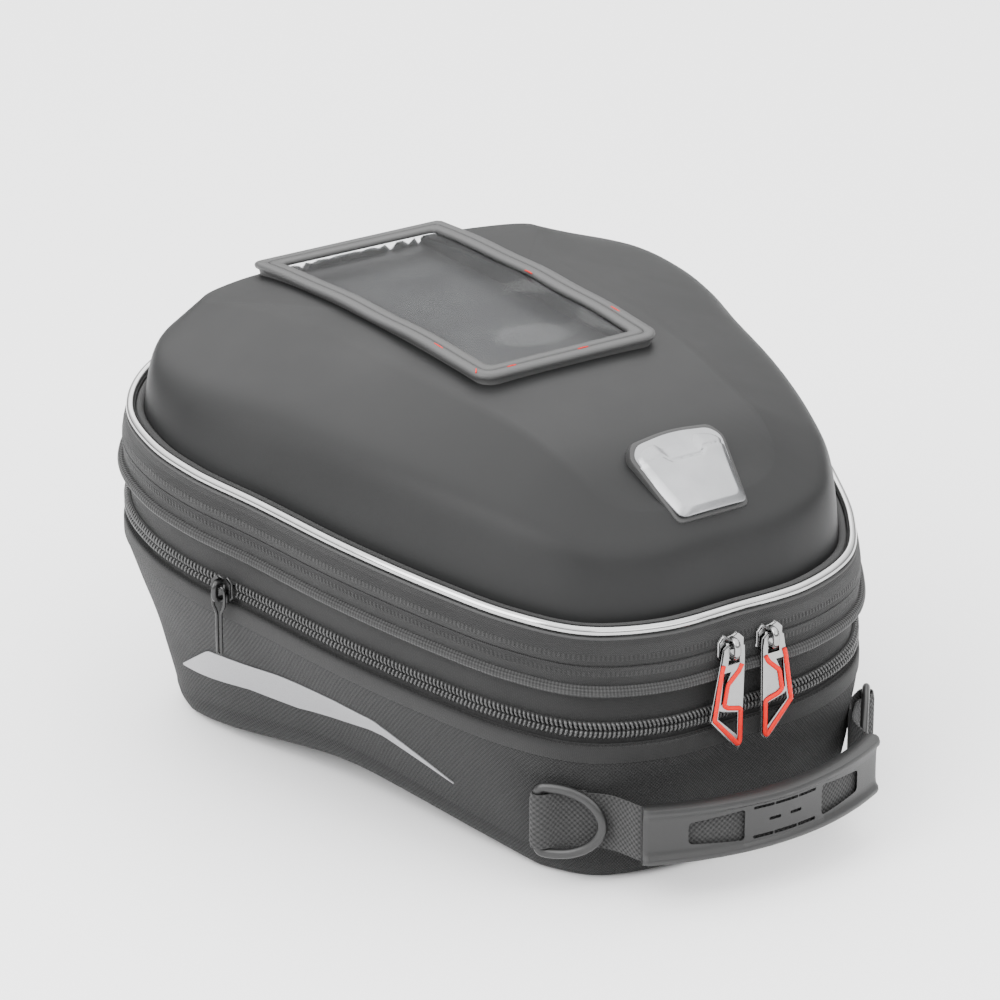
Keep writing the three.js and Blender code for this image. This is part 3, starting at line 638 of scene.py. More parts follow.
def base_loops(inset):
    base = outline(BASE_HALF)
    loops = []
    for share in (0.05, 0.2, 0.4, 0.58, 0.66, 0.74, 0.82, 0.88):
        y = base[:, 1] * share
        ease = min(max((share - 0.58) / 0.24, 0), 1)
        ease = ease * ease * (3 - 2 * ease)
        z = ARCH_HEIGHT * (1 - ease) + arch_z(base[:, 1]) * ease
        loops.append(with_z(np.column_stack([base[:, 0] * share, y]), z + inset))
    for angle in np.radians([0, 20, 40, 60, 78]):
        radius = BASE_RADIUS
        rounded_in = outline(BASE_HALF, -inset * math.sin(angle) - radius * 0.75 * (1 - math.sin(angle)))
        lift = radius * (1 - math.cos(angle))
        loops.append(with_z(rounded_in, arch_z(outline(BASE_HALF)[:, 1]) + lift + inset * math.cos(angle)))
    return loops


def tub_loops(inset):
    wall = [wall_loop(share, inset) for share in np.linspace(0.0, 1, 30)]
    collar = [rim_loop(COLLAR_OFFSET - inset, TUB_TOP - COLLAR_HEIGHT * (1 - t)) for t in (0.3, 0.65, 0.9)]
    return [*base_loops(inset), *wall, *collar, rim_loop(COLLAR_OFFSET - inset - 0.4, TUB_TOP)]


def build_tub():
    outer, inner = tub_loops(0), tub_loops(1.2)[::-1]
    skin = loft("tub_skin", outer + inner)
    finish(skin, NYLON, "tub", "ballistic_nylon", ["tub_shell"], sharp=50)
    lining = loft("tub_lining", tub_loops(1.5)[:-1] + tub_loops(2.9)[:-1][::-1])
    finish(lining, LINING, "tub", "gusset_fabric", sharp=50)
    edge = [(0.9, -58.2), (4.75, -58.2), (4.75, -52.2), (4.3, -50.6), (0.9, -50.6)]
    finish(ring("tub_edge_binding", rounded(edge, 0.8)), BAND_CLOTH, "tub", "zip_tape")


def build_stripes():
    """The silver swoosh that lies on each side's wall."""
    start, end = -76, 91
    low_edge = [[start, 31], [-43, 44.5], [-35, 45], [15, 37.5], [42, 38], [77, 34], [end, 33]]
    high_edge = [[start, 31.8], [-41, 52.5], [-20, 55], [15, 56], [34, 55], [58, 54], [end, 34]]
    for side, name in ((1, "stripe_right"), (-1, "stripe_left")):
        half = side * np.arange(ROUND // 2) % ROUND
        walls = [wall_loop(share, -0.3)[half] for share in np.linspace(0, 1, 40)]

        def wall_at(y, z, lift):
            across = [np.interp(y, wall[:, 1], np.abs(wall[:, 0])) for wall in walls]
            height = [np.interp(y, wall[:, 1], wall[:, 2]) for wall in walls]
            return [(np.interp(z, height, across) + lift) * side, y, z]

        rows = []
        for y in np.linspace(start, end, 60):
            low, high = table(low_edge, y), table(high_edge, y)
            face = [wall_at(y, low + (high - low) * t, 0.25) for t in np.linspace(0, 1, 7)]
            back = [wall_at(y, low + (high - low) * t, -0.3) for t in np.linspace(1, 0, 7)]
            rows.append(face + back)
        piece = solid("swoosh_" + name, np.array(rows), closed_i=False)
        finish(piece, SILVER, "tub", "reflective_silver", [name])


# ---- zips
TOOTH_PITCH = 1.9
TOOTH_LEAN = 0.9
SIDE_SLIDER_Y = 26


def teeth(name, start, end, edge, tip, face):
    """A row of coil teeth: each is a small arched bar from the tape's edge to the zip's middle."""
    n = 6  # stations along a tooth, and sides round it
    count = int(round((end - start) / TOOTH_PITCH))
    places = start + (end - start) / count * (np.arange(count) + 0.5)
    along = np.linspace(0, 1, n)
    bulge = np.sin((0.1 + 0.75 * along) * math.pi) ** 0.6
    height = edge + (tip - edge) * along
    turn = np.arange(n) / n * 2 * math.pi
    shift = TOOTH_LEAN * (along - 0.5)[None, :, None] + 0.62 * np.cos(turn)[None, None, :]
    out = face[0] + (face[1] - face[0]) * bulge[None, :, None] + 0.5 * np.sin(turn)[None, None, :]
    s = places[:, None, None] + shift
    offset = np.broadcast_to(out, s.shape)
    high = np.broadcast_to(height[None, :, None], s.shape)
    faces = []
    for base in range(0, count * n * n, n * n):
        faces += [[base + i * n + j, base + (i + 1) * n + j, base + (i + 1) * n + (j + 1) % n,
                   base + i * n + (j + 1) % n] for i in range(n - 1) for j in range(n)]
        faces += [[base + j for j in range(n)], [base + n * n - 1 - j for j in range(n)]]
    return add_object(name, on_rim(s.ravel(), offset.ravel(), high.ravel()), faces)


def build_expansion_zip():
    split = 0.15
    slider = arc_at(SIDE_SLIDER_Y, -1)
    halves = (("upper", 1, "band"), ("lower", -1, "tub"))
    for half, way, body in halves:
        piece = teeth("expansion_teeth_" + half, slider - RIM_LENGTH + 5, slider - 5,
                      EXPANSION_ZIP + 3.6 * way, EXPANSION_ZIP + split * way, (1.7, 3.9))
        finish(piece, COIL, body, "zip_coil", ["expansion_coil_" + half], sharp=80)
    tape = [(-0.3, EXPANSION_ZIP + split), (1.0, EXPANSION_ZIP + split), (1.0, -28), (-0.3, -28)]
    piece = ring("expansion_tape_top", rounded(tape, 0.2, 2))
    finish(piece, BAND_CLOTH, "band", "zip_tape", ["expansion_tape_upper"])
    tape = [(-0.3, -57), (1.0, -57), (1.0, EXPANSION_ZIP - split), (-0.3, EXPANSION_ZIP - split)]
    piece = ring("expansion_tape_bottom", rounded(tape, 0.2, 2))
    finish(piece, TAPE, "tub", "zip_tape", ["expansion_tape_lower"])
    for half, way, body in halves:
        piece = ring("expansion_cord_" + half, circle(1.5, EXPANSION_ZIP + 1.9 * way, 0.9, 8))
        finish(piece, THREAD, body, "zip_coil")


def build_main_zip():
    split = 0.2
    upper = [(4.3, MAIN_ZIP + split), (4.2, -11.2), (3.7, -8), (3.0, -5), (2.2, -2.9),
             (0.9, -3.1), (1.7, -5.2), (2.3, -8), (2.6, -11.2), (2.8, MAIN_ZIP + split)]
    piece = ring("main_tape_top", upper)
    finish(piece, HERRINGBONE_UPPER, "lid", "herringbone_tape", ["main_tape_upper"])
    lower = [(3.6, -22.9), (3.9, -20), (4.2, -17), (4.3, MAIN_ZIP - split),
             (2.8, MAIN_ZIP - split), (2.6, -17), (2.4, -20), (2.1, -22.9)]
    piece = ring("main_tape_bottom", lower)
    finish(piece, HERRINGBONE_LOWER, "band", "herringbone_tape", ["main_tape_lower"])
    for half, way, body, edge in (("upper", 1, "lid", -10.4), ("lower", -1, "band", -17.2)):
        piece = teeth("main_teeth_" + half, 0, RIM_LENGTH, edge, MAIN_ZIP + 0.1 * way, (1.5, -0.2))
        finish(piece, COIL, body, "zip_coil", ["main_coil_" + half], sharp=80)


# ---- band
def build_band():
    wall = [(-3.8, -42), (-0.6, -42), (-0.6, -27.2), (1.7, -26.6), (1.7, -17.4), (-3.8, -17.4)]
    piece = ring("band_wall", rounded(wall, 0.6))
    finish(piece, BAND_CLOTH, "band", "ballistic_nylon", ["band_frame"])
    piece = ring("braided_cord", circle(4.3, -25, 2.35, 14), stations=ROUND * 3)
    finish(piece, BRAID, "band", "braided_trim", ["braided_piping"])
    flange = [(1.6, -28.6), (3.9, -28.3), (3.9, -27), (1.6, -27)]
    finish(ring("piping_flange", rounded(flange, 0.4, 2)), THREAD, "band", "braided_trim")


def ribbon(offset, height, thickness):
    """A thin profile, up its outer face and down its inner one."""
    up = with_z(np.broadcast_to(offset, len(height))[:, None], height)
    return np.vstack([up, (up - (thickness, 0))[::-1]])


def build_gusset():
    """The fabric that lies folded inside the band."""
    tall, hem = 12.5, 3
    t = np.linspace(0, 1, 33)
    profile = ribbon(-1.0 - 7.0 * np.sin(math.pi * t) ** 0.8, TUB_TOP - hem + (tall + hem) * t, 0.7)
    piece = ring("expansion_bellows", profile, stations=ROUND)
    finish(piece, GUSSET, None, "gusset_fabric", ["expansion_gusset"], sharp=70)
    up = np.array([0, -RIM_SLOPE, 1]) / math.hypot(1, RIM_SLOPE)
    foot = np.array([0, 0, RIM_HEIGHT + TUB_TOP - hem / 2])
    spot(*foot)
    spot(*(foot + up * tall))
    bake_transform(piece)


def build_lid_hinge():
    """The fabric strip at the rear that the lid turns on."""
    middle, half_width, bend = arc_at(HINGE_Y - 4, 1), 58, 4.5
    profile = ribbon(-1.1, np.linspace(-22.5, -4, 25), 0.8)
    span = middle - half_width, middle + half_width
    piece = ring("lid_hinge_fabric", profile, stations=60, span=span)
    finish(piece, GUSSET, None, "gusset_fabric", sharp=70)
    z = rim_z(HINGE_Y) + MAIN_ZIP
    spot(0, HINGE_Y, z - bend)
    spot(0, HINGE_Y, z + bend)
    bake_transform(piece)


# ---- lid
LID_EDGE = -6
LID_CROWN = 1.5
LID_MIDDLE = 18
WALL_SHARE = 0.62  # share of the lid's height that its steep wall takes below the sloping side
WALL_STEEPNESS = 4
TRAY_FLOOR = 43.5  # above the rim plane


def crease_z(y):
    return RIM_HEIGHT + smooth_table(CREASE_HEIGHT, y)


def lid_loops(inset):
    edge = rim_loop(LID_EDGE - inset, 0)
    crease = outline(CREASE_HALF)
    keys = np.abs((np.arange(ROUND) + ROUND / 2) % ROUND - ROUND / 2) / (ROUND / 24)
    power = np.interp(keys, np.arange(13), SIDE_SQUARENESS)
    top = crease_z(crease[:, 1]) - inset
    loops = []
    for share in np.linspace(0, 1, 40) ** 2.2:
        wall = 1 - (1 - share) ** (power * WALL_STEEPNESS)
        rise = WALL_SHARE * wall + (1 - WALL_SHARE) * share
        flat = edge[:, :2] + (crease - edge[:, :2]) * share
        loops.append(with_z(flat, edge[:, 2] + (top - edge[:, 2]) * rise))
    for share in np.linspace(1, 0.03, 26)[1:]:
        y = LID_MIDDLE + (crease[:, 1] - LID_MIDDLE) * share
        loops.append(with_z(np.column_stack([crease[:, 0] * share, y]),
                            crease_z(y) - inset + LID_CROWN * (1 - share ** 2)))
    return loops


def tray_cutter():
    """Recess under the phone pocket, open at the rear."""
    floor = RIM_HEIGHT + TRAY_FLOOR
    plan = [(-40, -21), (40, -21), (42.5, 230), (-42.5, 230)]
    low = [[x, y, floor] for x, y in plan]
    high = [[x, y, floor + 60] for x, y in plan]
    faces = [[3, 2, 1, 0], [4, 5, 6, 7]] + [[k, (k + 1) % 4, 4 + (k + 1) % 4, 4 + k] for k in range(4)]
    cutter = add_object("tray_cutter", np.array(low + high), faces)
    bevel(cutter, 3, 3)
    return cutter


def pocket_tray():
    """The pocket's cloth tray: its walls end inside the lid's thickness, all round the recess."""
    floor, wall, cloth = RIM_HEIGHT + TRAY_FLOOR - 0.1, 2, 1.6
    skin = np.vstack(lid_loops(1.2))
    corners = fillet([(-39.8, -20.8), (39.8, -20.8), (41.6, 149), (-41.6, 149)], 2, True)
    runs = zip(np.roll(corners, 1, 0), corners)
    inner = np.vstack([np.linspace(a, b, 24, endpoint=False) for a, b in runs])
    outer = inner + np.sign(inner - (0, 64)) * wall
    heights = np.array([skin[np.argmin(np.hypot(*(skin[:, :2] - p).T)), 2] for p in inner])
    loops = (outer, floor - cloth), (outer, heights), (inner, heights), (inner, floor)
    return solid("pocket_floor", np.stack([with_z(*loop) for loop in loops], 1), closed_j=False)


def build_lid():
    outer = lid_loops(0)
    inner = lid_loops(2.4)
    lid = loft("lid_moulding", outer[::-1] + [rim_loop(LID_EDGE - 0.4, -0.8)] + inner)
    carve(lid, [tray_cutter()])
    finish(lid, SHELL, "lid", "rubberised_shell", ["lid_shell"], sharp=32)
    finish(pocket_tray(), LINING, "lid", "pocket_rubber")

    binding = [(-9.0, -2.6), (-2.4, -2.6), (-2.0, -1.2), (-3.0, 0.6), (-4.6, 0.9), (-5.8, 0.2), (-6.0, -1.4)]
    finish(ring("rim_binding", rounded(binding)), BINDING, "lid", "binding_tape", ["lid_binding"])
    finish(ring("rim_piping", circle(0, 0, 2.1, 16)), PIPING, "lid", "silver_trim", ["silver_piping"])
    lip = [(-2.4, -2.9), (2.3, -3.3), (2.2, -2.1), (-2.2, -1.6)]
    finish(ring("piping_lip", rounded(lip, 0.3, 2)), THREAD, "lid", "silver_trim")
    stiffener = [(-9.4, -9.4), (-1.2, -9.4), (-1.2, -3.6), (-9.4, -3.6)]
    piece = ring("lid_stiffener", rounded(stiffener, 0.8))
    finish(piece, LINING, "lid", "board_plastic", ["lid_frame"])


# ---- phone pocket
POCKET_FRONT = -30
POCKET_REAR = 150
POCKET_LIFT = [[-30, 52.6], [-18, 53.4], [10, 55.3], [45, 56.2], [95, 56.2], [130, 55.0], [150, 53.6]]


def pocket_outline(inset, count=220):
    """The pocket in plan: broad at the rear, with rounder corners at the front."""
    front, rear = POCKET_FRONT + inset, POCKET_REAR - inset
    narrow, wide = 48.2 - inset, 52 - inset
    r0, r1 = max(2.5, 9 - inset), max(1.5, 4 - inset)
    corners = []
    for cx, cy, radius, first in ((narrow - r0, front + r0, r0, -90), (wide - r1, rear - r1, r1, 0),
                                  (-wide + r1, rear - r1, r1, 90), (-narrow + r0, front + r0, r0, 180)):
        for a in np.radians(first + np.linspace(0, 90, 9)):
            corners.append([cx + radius * math.cos(a), cy + radius * math.sin(a)])
    return evenly(np.array(corners), count)


def pocket_z(x, y):
    """Height of the pocket's edge: it lifts off the lid along its sides, unevenly."""
    ripple = 0.35 * np.sin(y * 0.11 + x * 0.02) * np.exp(-((y - 60) / 60) ** 2)
    return RIM_HEIGHT + smooth_table(POCKET_LIFT, y) + ripple


def on_pocket(plan, lift):
    """A plan line at a height over the pocket's top."""
    return with_z(plan, pocket_z(plan[:, 0], plan[:, 1]) + lift)


def pocket_film():
    """The clear film, which dips and waves between its edges."""
    across, along = np.linspace(-1, 1, 49), np.linspace(POCKET_FRONT + 8.5, POCKET_REAR - 8.5, 97)
    x, y = np.meshgrid(across, along)
    x = x * (39.7 + 3.8 * (y - POCKET_FRONT) / (POCKET_REAR - POCKET_FRONT))
    spread = (1 - across ** 4) * (1 - ((y - 60) / 82) ** 6)
    wave = 0.45 * np.sin(x * 0.11 + y * 0.05) + 0.3 * np.sin(y * 0.13 - x * 0.05)
    z = pocket_z(x, y) - 1.7 + (0.5 * wave - 0.9) * spread
    sheet = np.stack([x, y, z], -1).reshape(-1, 3)
    ids = np.arange(x.size).reshape(x.shape)
    quads = np.stack([ids[:-1, :-1], ids[:-1, 1:], ids[1:, 1:], ids[1:, :-1]], -1).reshape(-1, 4)
    border = np.concatenate([ids[0], ids[1:, -1], ids[-1, -2::-1], ids[-2:0:-1, 0]])
    after = np.roll(border, -1)
    edge = np.stack([after, border, border + x.size, after + x.size], 1)
    faces = np.vstack([quads, (quads + x.size)[:, ::-1], edge]).tolist()
    return add_object("pocket_film", np.vstack([sheet, sheet - (0, 0, 0.5)]), faces)


def pocket_side():
    """The wall under the pocket's edge, round its front and sides."""
    line = [p for p in pocket_outline(1.6) if p[1] < POCKET_REAR - 3]
    start = max(range(len(line)), key=lambda k: np.linalg.norm(line[k] - line[k - 1]))
    line = np.array(line[start:] + line[:start])
    inner = np.column_stack([line[:, 0], np.maximum(line[:, 1], POCKET_FRONT + 3.2)])
    low = RIM_HEIGHT + 46
    top = pocket_z(line[:, 0], line[:, 1]) - 2.4
    rows = []
    for plan, narrower, share in ((line, 0, 0), (line, 0.8, 0.5), (line, 0, 1),
                                  (inner, 1.6, 1), (inner, 2.4, 0.5), (inner, 1.6, 0)):
        rows.append(with_z(plan * (1 - narrower / 50, 1), low + (top - low) * share))
    return solid("pocket_side", np.stack(rows, 1), closed_i=False)


def build_pocket():
    edge = [(0.4, -2.6), (0.0, -1.6), (0.3, -0.5), (1.3, 0.0), (3.6, 0.1), (4.9, -0.15), (5.3, -0.75),
            (5.7, -0.15), (7.0, 0.0), (9.2, -0.1), (10.2, -0.5), (10.6, -1.4), (10.4, -2.6)]
    rows = [on_pocket(pocket_outline(inset), lift) for inset, lift in edge]
    piece = solid("pocket_edge", np.stack(rows, 1))
    finish(piece, POCKET, "lid", "pocket_rubber", ["pocket_frame"], sharp=60)

    path = on_pocket(pocket_outline(5.3, 200), -0.45)
    piece = tube("pocket_stitching", path, 0.34, sides=6, closed=True)
    finish(piece, THREAD, "lid", "pocket_rubber")

    marks = []
    ends = np.linspace(-1, 1, 7)
    for x, y, dx, dy in ((-45.2, 8, 0, 3.2), (45.2, 2, 0, 3.2), (8, -25.2, 2.6, 0), (-30, -25.6, 2.2, 0),
                         (39.2, 60, 0, 2.6), (-46.2, -22, 1.2, 1.6)):
        path = np.column_stack([x + dx * ends, y + dy * ends])
        marks.append(tube("mark", on_pocket(path, -0.1 + 0.15 * (1 - ends ** 2)), 0.32, sides=6))
    finish(joined("pocket_thread_accents", marks), RED, "lid", "red_plastic")
    finish(pocket_film(), FILM, "lid", "clear_window", ["pocket_window"], sharp=60)
    finish(pocket_side(), POCKET, "lid", "pocket_rubber", ["pocket_welt"])


# ---- badge
def badge_shape(grow):
    """The badge's outline, broader at its top, grown on every side."""
    top, low = 23.5 + grow, 17.2 + grow
    corners = [(-low, -20 - grow, 3.2), (low, -20 - grow, 3.2), (top, 13, 2.5), (top - 4, 18.5 + grow, 3),
               (0, 21 + grow, 14), (-top + 4, 18.5 + grow, 3), (-top, 13, 2.5)]
    return evenly(fillet([c[:2] for c in corners], [c[2] for c in corners], True, 8), 96)


def badge_height(loop):
    """The face bows a little and falls away above the notched line."""
    x, y = loop[:, 0], loop[:, 1]
    notch = 9.5 - 3.2 * np.clip((11 - np.abs(x)) / 3, 0, 1)
    fold = np.clip(y - notch, 0, None)
    groove = np.exp(-((y - notch) / 0.8) ** 2) * 0.9
    return 3.1 - 0.0024 * x * x + 0.0035 * (y - 2) ** 2 - 0.42 * fold - groove


def on_badge(name, loops):
    """A body from loops drawn flat, tilted to lie on the lid's front slope."""
    tilt = math.radians(39)
    origin = 0, -114.5, crease_z(-113) + 2.4
    turned = []
    for loop in loops:
        x, y, z = loop.T
        turned.append(np.column_stack([x, y * math.cos(tilt) - z * math.sin(tilt),
                                       y * math.sin(tilt) + z * math.cos(tilt)]) + origin)
    return solid(name, np.stack(turned, 1), closed_j=False)


def build_badge():
    """Bevelled blank plate: its top folds back beyond a notched line."""
    loops = [with_z(badge_shape(-0.5), 0.35)]
    for inset, drop in ((0, -3.0), (0, -2.3), (0.3, -1.9), (2.4, -0.55), (2.9, -0.15), (3.2, 0)):
        loop = badge_shape(-inset)
        loops.append(with_z(loop, badge_height(loop) + drop))
    rim = badge_shape(-3.2)
    for share in np.linspace(1, 0.02, 30)[1:]:
        loop = rim * share + np.array([0, 1.5]) * (1 - share)
        loops.append(with_z(loop, badge_height(loop)))
    finish(on_badge("badge_face", loops), BADGE, "lid", "badge_aluminium", ["badge_plate"], sharp=40)

    seat = ((1.4, -5), (1.5, -1.2), (1.2, -0.3), (0.4, 0.1), (-1, 0.1))
    loops = [with_z(badge_shape(grow), height) for grow, height in seat]
    finish(on_badge("badge_seat", loops), BOARD, "lid", "board_plastic", ["badge_base"], sharp=40)


# ---- sliders and pulls
FRONT_FACE_Y = -151.6
SLIDER_Z = rim_z(FRONT_FACE_Y) + MAIN_ZIP


def slider_frame(x, y, z, turn=0.0):
    """Moves points drawn at a slider's own origin to its place on the bag."""
    c, s = math.cos(turn), math.sin(turn)

    def place(points):
        p = np.asarray(points, float)
        return np.column_stack([p[:, 0] * c - p[:, 1] * s + x, p[:, 0] * s + p[:, 1] * c + y, p[:, 2] + z])
    return place


def placed(name, shape, place):
    verts, faces = shape
    return add_object(name, place(verts), faces)


def slider(name, place, width, material, slot, body, node):
    """A cast slider: shield-shaped plate, raised sides and an arched staple for the pull."""
    half = width / 2
    right = [(half - 1.2, -5.1), (half, -3.6), (half, 3.0), (half - 2.2, 5.1), (1.2, 4.1)]
    plate = placed(name + "_plate", prism(right + [(-x, z) for x, z in right[::-1]], 2.1), place)
    bevel(plate, 0.7, 3)
    arch = catmull([[0, -1.5, -4.3], [0, -4.6, -3.9], [0, -6.0, -2.2], [0, -6.3, 0], [0, -6.0, 2.2],
                    [0, -4.6, 3.8], [0, -1.5, 4.2]], 26, closed=False)
    staple = tube(name + "_staple", place(arch), 1.05, sides=12, flat=1.5, up=(1, 0, 0.01))
    boss = catmull([[-2.2, -2.0, -2.6], [-2.6, -2.9, 0], [-2.2, -2.0, 2.6]], 12, closed=False)
    ridges = [tube(name + "_ridge", place(boss * (side, 1, 1)), 0.8, sides=8) for side in (1, -1)]
    return finish(joined(name, [plate, staple, *ridges]), material, body, slot, [node], sharp=45)


def blade_pull(side, sense, x):
    """A silver blade with a red line round its windows, hanging from a small loop."""
    place = slider_frame(x, FRONT_FACE_Y - 0.3, SLIDER_Z)

    def drawn(name, points, depth, back=0):
        verts, faces = prism([(px * sense, pz) for px, pz in points], depth)
        return placed(name, (verts - (0, back, 0), faces), place)

    plate = drawn("blade", [(-3.0, 2.2), (-5.2, 0.6), (-6.0, -4), (-11.4, -31), (2.4, -46.4), (4.4, -44),
                            (5.2, -4), (5, 0.6), (3, 2.2)], 1.3, 3.0)
    windows = ([(-2.6, 0.3), (2.7, 0.3), (2.9, -6.6), (-3.4, -6.6)],
               [(2.2, -29.5), (2.2, -40.2), (-8.2, -30.2), (-7.6, -26.5), (-5.8, -27.6)],
               [(-5.4, -10), (-1.6, -10), (-4.4, -15.6), (-4.6, -23.2), (-6.9, -24.4)])
    carve(plate, [drawn("window", window, 8) for window in windows])
    bevel(plate, 0.3, 2)
    finish(plate, BLADE, "pull_" + side, "silver_trim", ["main_pull_" + side], sharp=40)
    plate.name = "pull_blade_" + side

    lines = []
    for line in ([(-6.6, -9), (-10.1, -30.4), (2.6, -44.4), (3.5, -42.8), (3.6, -28), (-3.2, -26.2),
                  (-5.2, -24.6), (-3.4, -15.4), (2.2, -10.4), (3.9, -7.4)], [(-6.6, -9), (-5.8, -6.2)]):
        path = fillet([(px * sense, -4.5, pz) for px, pz in line], 0.9)
        lines.append(tube("line", place(path), 1.05, sides=8, flat=0.8, up=(0, 1, 0)))
    inlay = joined("pull_line_" + side, lines)
    finish(inlay, RED, "pull_" + side, "red_plastic", ["main_pull_inlay_" + side], sharp=50)


def build_sliders():
    for side, sense, x in (("left", 1, -7.5), ("right", -1, 13)):
        place = slider_frame(x, FRONT_FACE_Y - 0.3, SLIDER_Z)
        slider("zip_slider_" + side, place, 11, CHROME, "slider_chrome", "slider_" + side,
               "main_slider_" + side)
        blade_pull(side, sense, x)


def build_side_slider():
    s = arc_at(SIDE_SLIDER_Y, -1)
    here, there = on_rim(s, 4.6, 0), on_rim(s + 4, 4.6, 0)
    along = unit((there - here)[:2])
    turn = math.atan2(along[1], along[0])
    out = np.array([along[1], -along[0]]) * 0.9
    place = slider_frame(*(here[:2] + out), rim_z(SIDE_SLIDER_Y) + EXPANSION_ZIP, turn)
    slider("side_zip_slider", place, 9, BLACK_METAL, "black_metal", "side_slider", "expansion_slider")
    half = [(-2.6, 1.6), (-3.4, -3), (-3.0, -7.5), (-1.1, -10.5), (-1.1, -30.2)]
    loop = [(x, -3.6, z) for x, z in half + [(-x, z) for x, z in half[::-1]]]
    wire = tube("wire", place(fillet(loop, 1.4, True)), 0.72, sides=10, closed=True, up=(0, 1, 0.01))
    finish(wire, BLACK_METAL, "side_pull", "black_metal", ["expansion_pull"], sharp=60)
    wire.name = "side_wire_pull"


# ---- webbing, D-rings and grip
WEB_LOW = 20.8
WEB_HIGH = 45.6
RING_BAR = np.array([-88.0, -128.0])
RING_WAY = np.array([0.653, -0.757])
RING_OUT = np.array([-0.757, -0.653])
GRIP_HALF = 60
SLEEVE_REACH = 61.5
SLEEVE_Z = 33.5


def bow_y(x):
    return -166 - 15 * (1 - (x / GRIP_HALF) ** 2)


def strip(name, path, low, high, thickness):
    """A flat strap on edge along a plan path, from low to high."""
    along = unit(np.gradient(path, axis=0))
    side = np.column_stack([along[:, 1], -along[:, 0]])
    half = thickness / 2
    heights = np.linspace(low, high, 9)
    edge = [(half * 0.4, low - 0.1), *[(half, z) for z in heights[1:-1]], (half * 0.4, high + 0.1)]
    across = [with_z(path + side * out, z) for out, z in edge + [(-o, z) for o, z in edge[::-1]]]
    return solid(name, np.stack(across, 1), u=distances(path), closed_i=False)


def build_webbing():
    round_bar = ((19, -6.4), (9, -6.3), (2, -4.2), (-1.8, -2.5), (-3.0, 0), (-2.1, 2.2),
                 (0.4, 2.9), (3.4, 1.6), (7, -1.6), (11, -3.6), (17, -4.4), (26, -4.9))
    left = [RING_BAR + RING_WAY * s + RING_OUT * n for s, n in round_bar]
    left += [np.array([-64.6, -148.6]), np.array([-62.4, -156]), np.array([-60.5, -163.5])]
    middle = [np.array([x, bow_y(x)]) for x in np.linspace(-56, 56, 15)]
    path = left + middle + [p * (-1, 1) for p in left[::-1]]
    curve = catmull(path, 420, closed=False)
    piece = strip("grip_webbing", curve, WEB_LOW, WEB_HIGH, 1.7)
    nodes = ["strap_anchor_left", "strap_anchor_right", "handle_strap"]
    finish(piece, WEBBING, None, "webbing", nodes, sharp=60)
    spot(0, -145, 33.2)
    spot(0, -160, 33.2)
    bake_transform(piece)


def build_d_rings():
    shape = [[0, 20.4], [0, 33.2], [0, 46], [1.2, 47.8], [4, 48.4], [13, 47.6], [21, 44], [26, 38.5],
             [27.6, 33.2], [26, 28], [21, 22.4], [13, 18.8], [4, 18], [1.2, 18.6]]
    for side, name in ((-1, "left"), (1, "right")):
        loop = [[*(RING_BAR + RING_WAY * s) * (-side, 1), z] for s, z in shape]
        path = catmull(loop, 96)
        across = (RING_OUT[0] * -side, RING_OUT[1], 0)
        piece = tube("moulded_d_ring_" + name, path, 2.25, sides=14, closed=True, flat=0.8, up=across)
        finish(piece, RING, "ring_" + name, "ring_plastic", ["d_ring_" + name], sharp=70)


def build_grip():
    """Moulded sleeve bowed outward, with raised rims, two windows and generic slots."""
    half = [(-4.3, 0), (-4.3, 10.6), (-3.6, 12.6), (-1.6, 13.5), (2.2, 13.5), (4.0, 12.8), (4.6, 11.5),
            (4.4, 10.1), (3.2, 8.9), (2.8, 6), (2.7, 0)]
    section = half + [(d, -z) for d, z in half[-2:0:-1]]
    rows = []
    for x in np.linspace(-SLEEVE_REACH, SLEEVE_REACH, 124):
        slope = 30 * x / GRIP_HALF ** 2
        out = np.array([slope, -1]) / math.hypot(slope, 1)
        reach = abs(x) / SLEEVE_REACH
        tall = 1 - 0.05 * (1 - reach) ** 0.5 if reach < 1 else 1
        ends = 1 - 0.35 * max(0, (reach - 0.955) / 0.045) ** 2
        swell = 1 + 0.12 * math.exp(-(x / 16) ** 2)
        rows.append([[x + out[0] * d * ends, bow_y(x) + out[1] * d * ends * (swell if z > 0 else 1),
                      SLEEVE_Z + z * tall * (1 - 0.04 * (1 - ends))] for d, z in section])
    grip = solid("grip_sleeve", np.array(rows), closed_i=False)

    cutters = []
    for side in (-1, 1):
        window = fillet([(20.5, 26.4), (20.5, 40.8), (45, 38.4), (45, 28.6)], 2, True)
        verts, faces = prism(window * (side, 1), 12)
        cutters.append(add_object("window", verts + (0, bow_y(32) + 1.7, 0), faces))
    slots = [(x, z, 6 if x == 0 else 5) for z in (40.4, 26.8) for x in (-11.5, 0, 11.5)]
    for x, z, long in slots + [(-5.5, SLEEVE_Z, 3), (5.5, SLEEVE_Z, 3)]:
        corners = [(x - long, z - 0.7), (x + long, z - 0.7), (x + long, z + 0.7), (x - long, z + 0.7)]
        verts, faces = prism(fillet(corners, 0.6, True), 12)
        cutters.append(add_object("slot", verts + (0, bow_y(x) + 0.2, 0), faces))
    carve(grip, cutters)
    finish(grip, GRIP, "handle", "grip_rubber", ["handle_grip"], sharp=38)


# ---- carried-over CAD nodes
def dress(material, *nodes):
    for name in nodes:
        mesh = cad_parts[name].data
        mesh.materials.clear()
        mesh.materials.append(material)


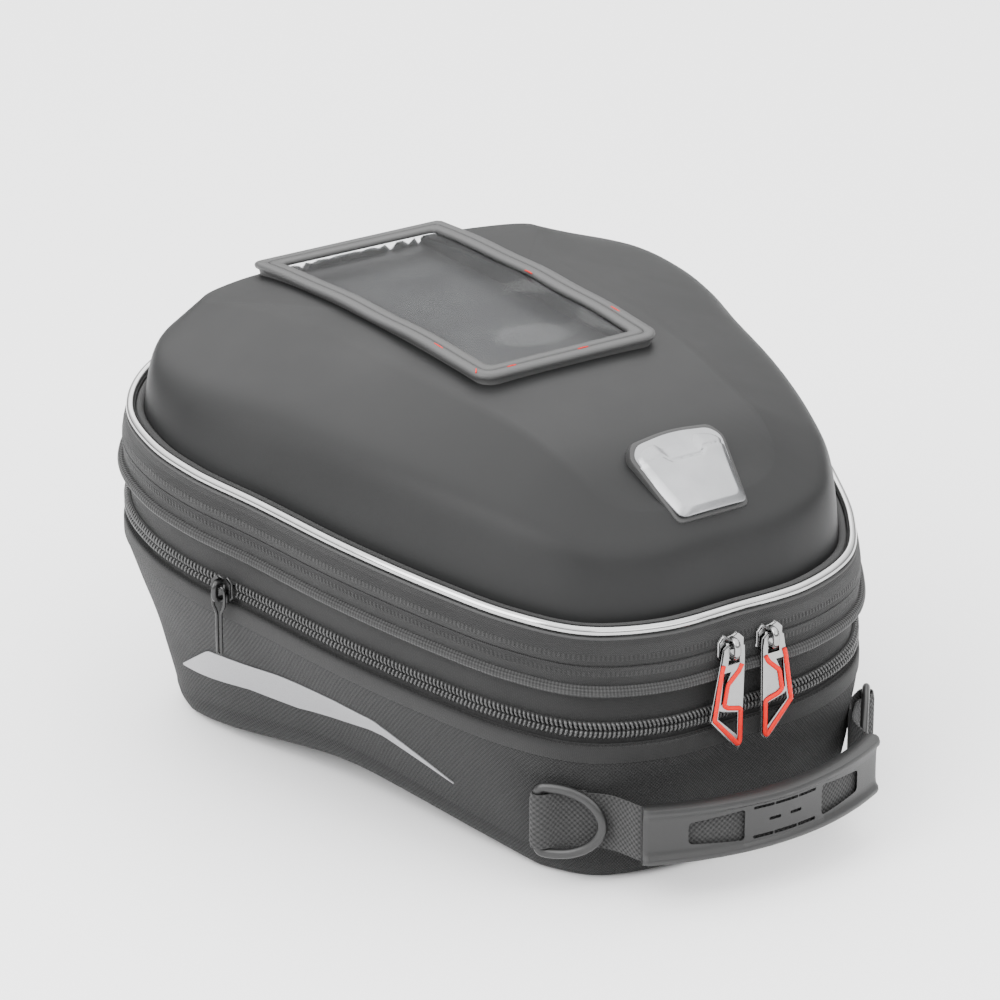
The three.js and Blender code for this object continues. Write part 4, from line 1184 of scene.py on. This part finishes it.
def build_scene():
    for build in (build_tub, build_stripes, build_expansion_zip, build_main_zip, build_band, build_gusset,
                  build_lid_hinge, build_lid, build_pocket, build_badge, build_sliders, build_side_slider,
                  build_webbing, build_d_rings, build_grip):
        build()
    dress(BOARD, "base_board")
    dress(LOCK, "lock_plate")
    dress(STEEL, *(f"lock_screw_{k}" for k in (1, 2, 3, 4)), "bolt_spring_left", "bolt_spring_right")
    dress(RED, "lock_bolt")


# ---- camera, floor and light
def add_camera():
    """Looks down on the grip's left corner from the front."""
    heading, down = math.radians(-34.9), math.radians(22.5)
    camera = bpy.data.objects.new("camera", bpy.data.cameras.new("camera"))
    camera.data.lens = 168.3
    camera.data.sensor_width = 36
    camera.data.clip_end = 50
    camera.location = spot(-1108, -1562, 907)
    camera.rotation_euler = (math.pi / 2 - down, 0, heading)
    bpy.context.collection.objects.link(camera)
    bpy.context.scene.camera = camera


def add_floor():
    bpy.ops.mesh.primitive_plane_add(size=30, location=(0, 0, 0))
    floor = bpy.context.object
    floor.name = "floor"
    made = Surface("floor", 0.55)
    made.colour((0.93, 0.93, 0.935), (0.95, 0.95, 0.953), made.noise(400, 2))
    floor.data.materials.append(made.material)


def add_light(name, place, aim, size, power):
    data = bpy.data.lights.new(name, "AREA")
    data.shape = "RECTANGLE"
    data.size, data.size_y = size
    data.energy = power
    light = bpy.data.objects.new(name, data)
    light.location = place
    light.rotation_euler = (Vector(aim) - Vector(place)).to_track_quat("-Z", "Y").to_euler()
    bpy.context.collection.objects.link(light)


def add_lights():
    world = bpy.data.worlds.new("studio")
    bpy.context.scene.world = world
    world.use_nodes = True
    tree = world.node_tree
    background = tree.nodes["Background"]
    parts = tree.nodes.new("ShaderNodeSeparateXYZ")
    ramp = tree.nodes.new("ShaderNodeMapRange")
    ramp.interpolation_type = "SMOOTHSTEP"
    for socket, value in (("From Min", 0.1), ("From Max", 0.85), ("To Min", 0.12), ("To Max", 1.0)):
        ramp.inputs[socket].default_value = value
    tree.links.new(tree.nodes.new("ShaderNodeTexCoord").outputs["Generated"], parts.inputs[0])
    tree.links.new(parts.outputs[2], ramp.inputs["Value"])
    tree.links.new(ramp.outputs[0], background.inputs[0])
    background.inputs[1].default_value = 4.2
    add_light("key", (-1.5, -0.3, 1.0), (0, 0, 0.1), (1.0, 1.4), 34)
    add_light("front", (0.2, -1.6, 0.9), (0, -0.1, 0.08), (1.6, 0.5), 8)
    add_light("rear", (0.6, 1.4, 1.3), (0, 0, 0.15), (1.6, 0.6), 6)


add_camera()
build_scene()
add_floor()
add_lights()
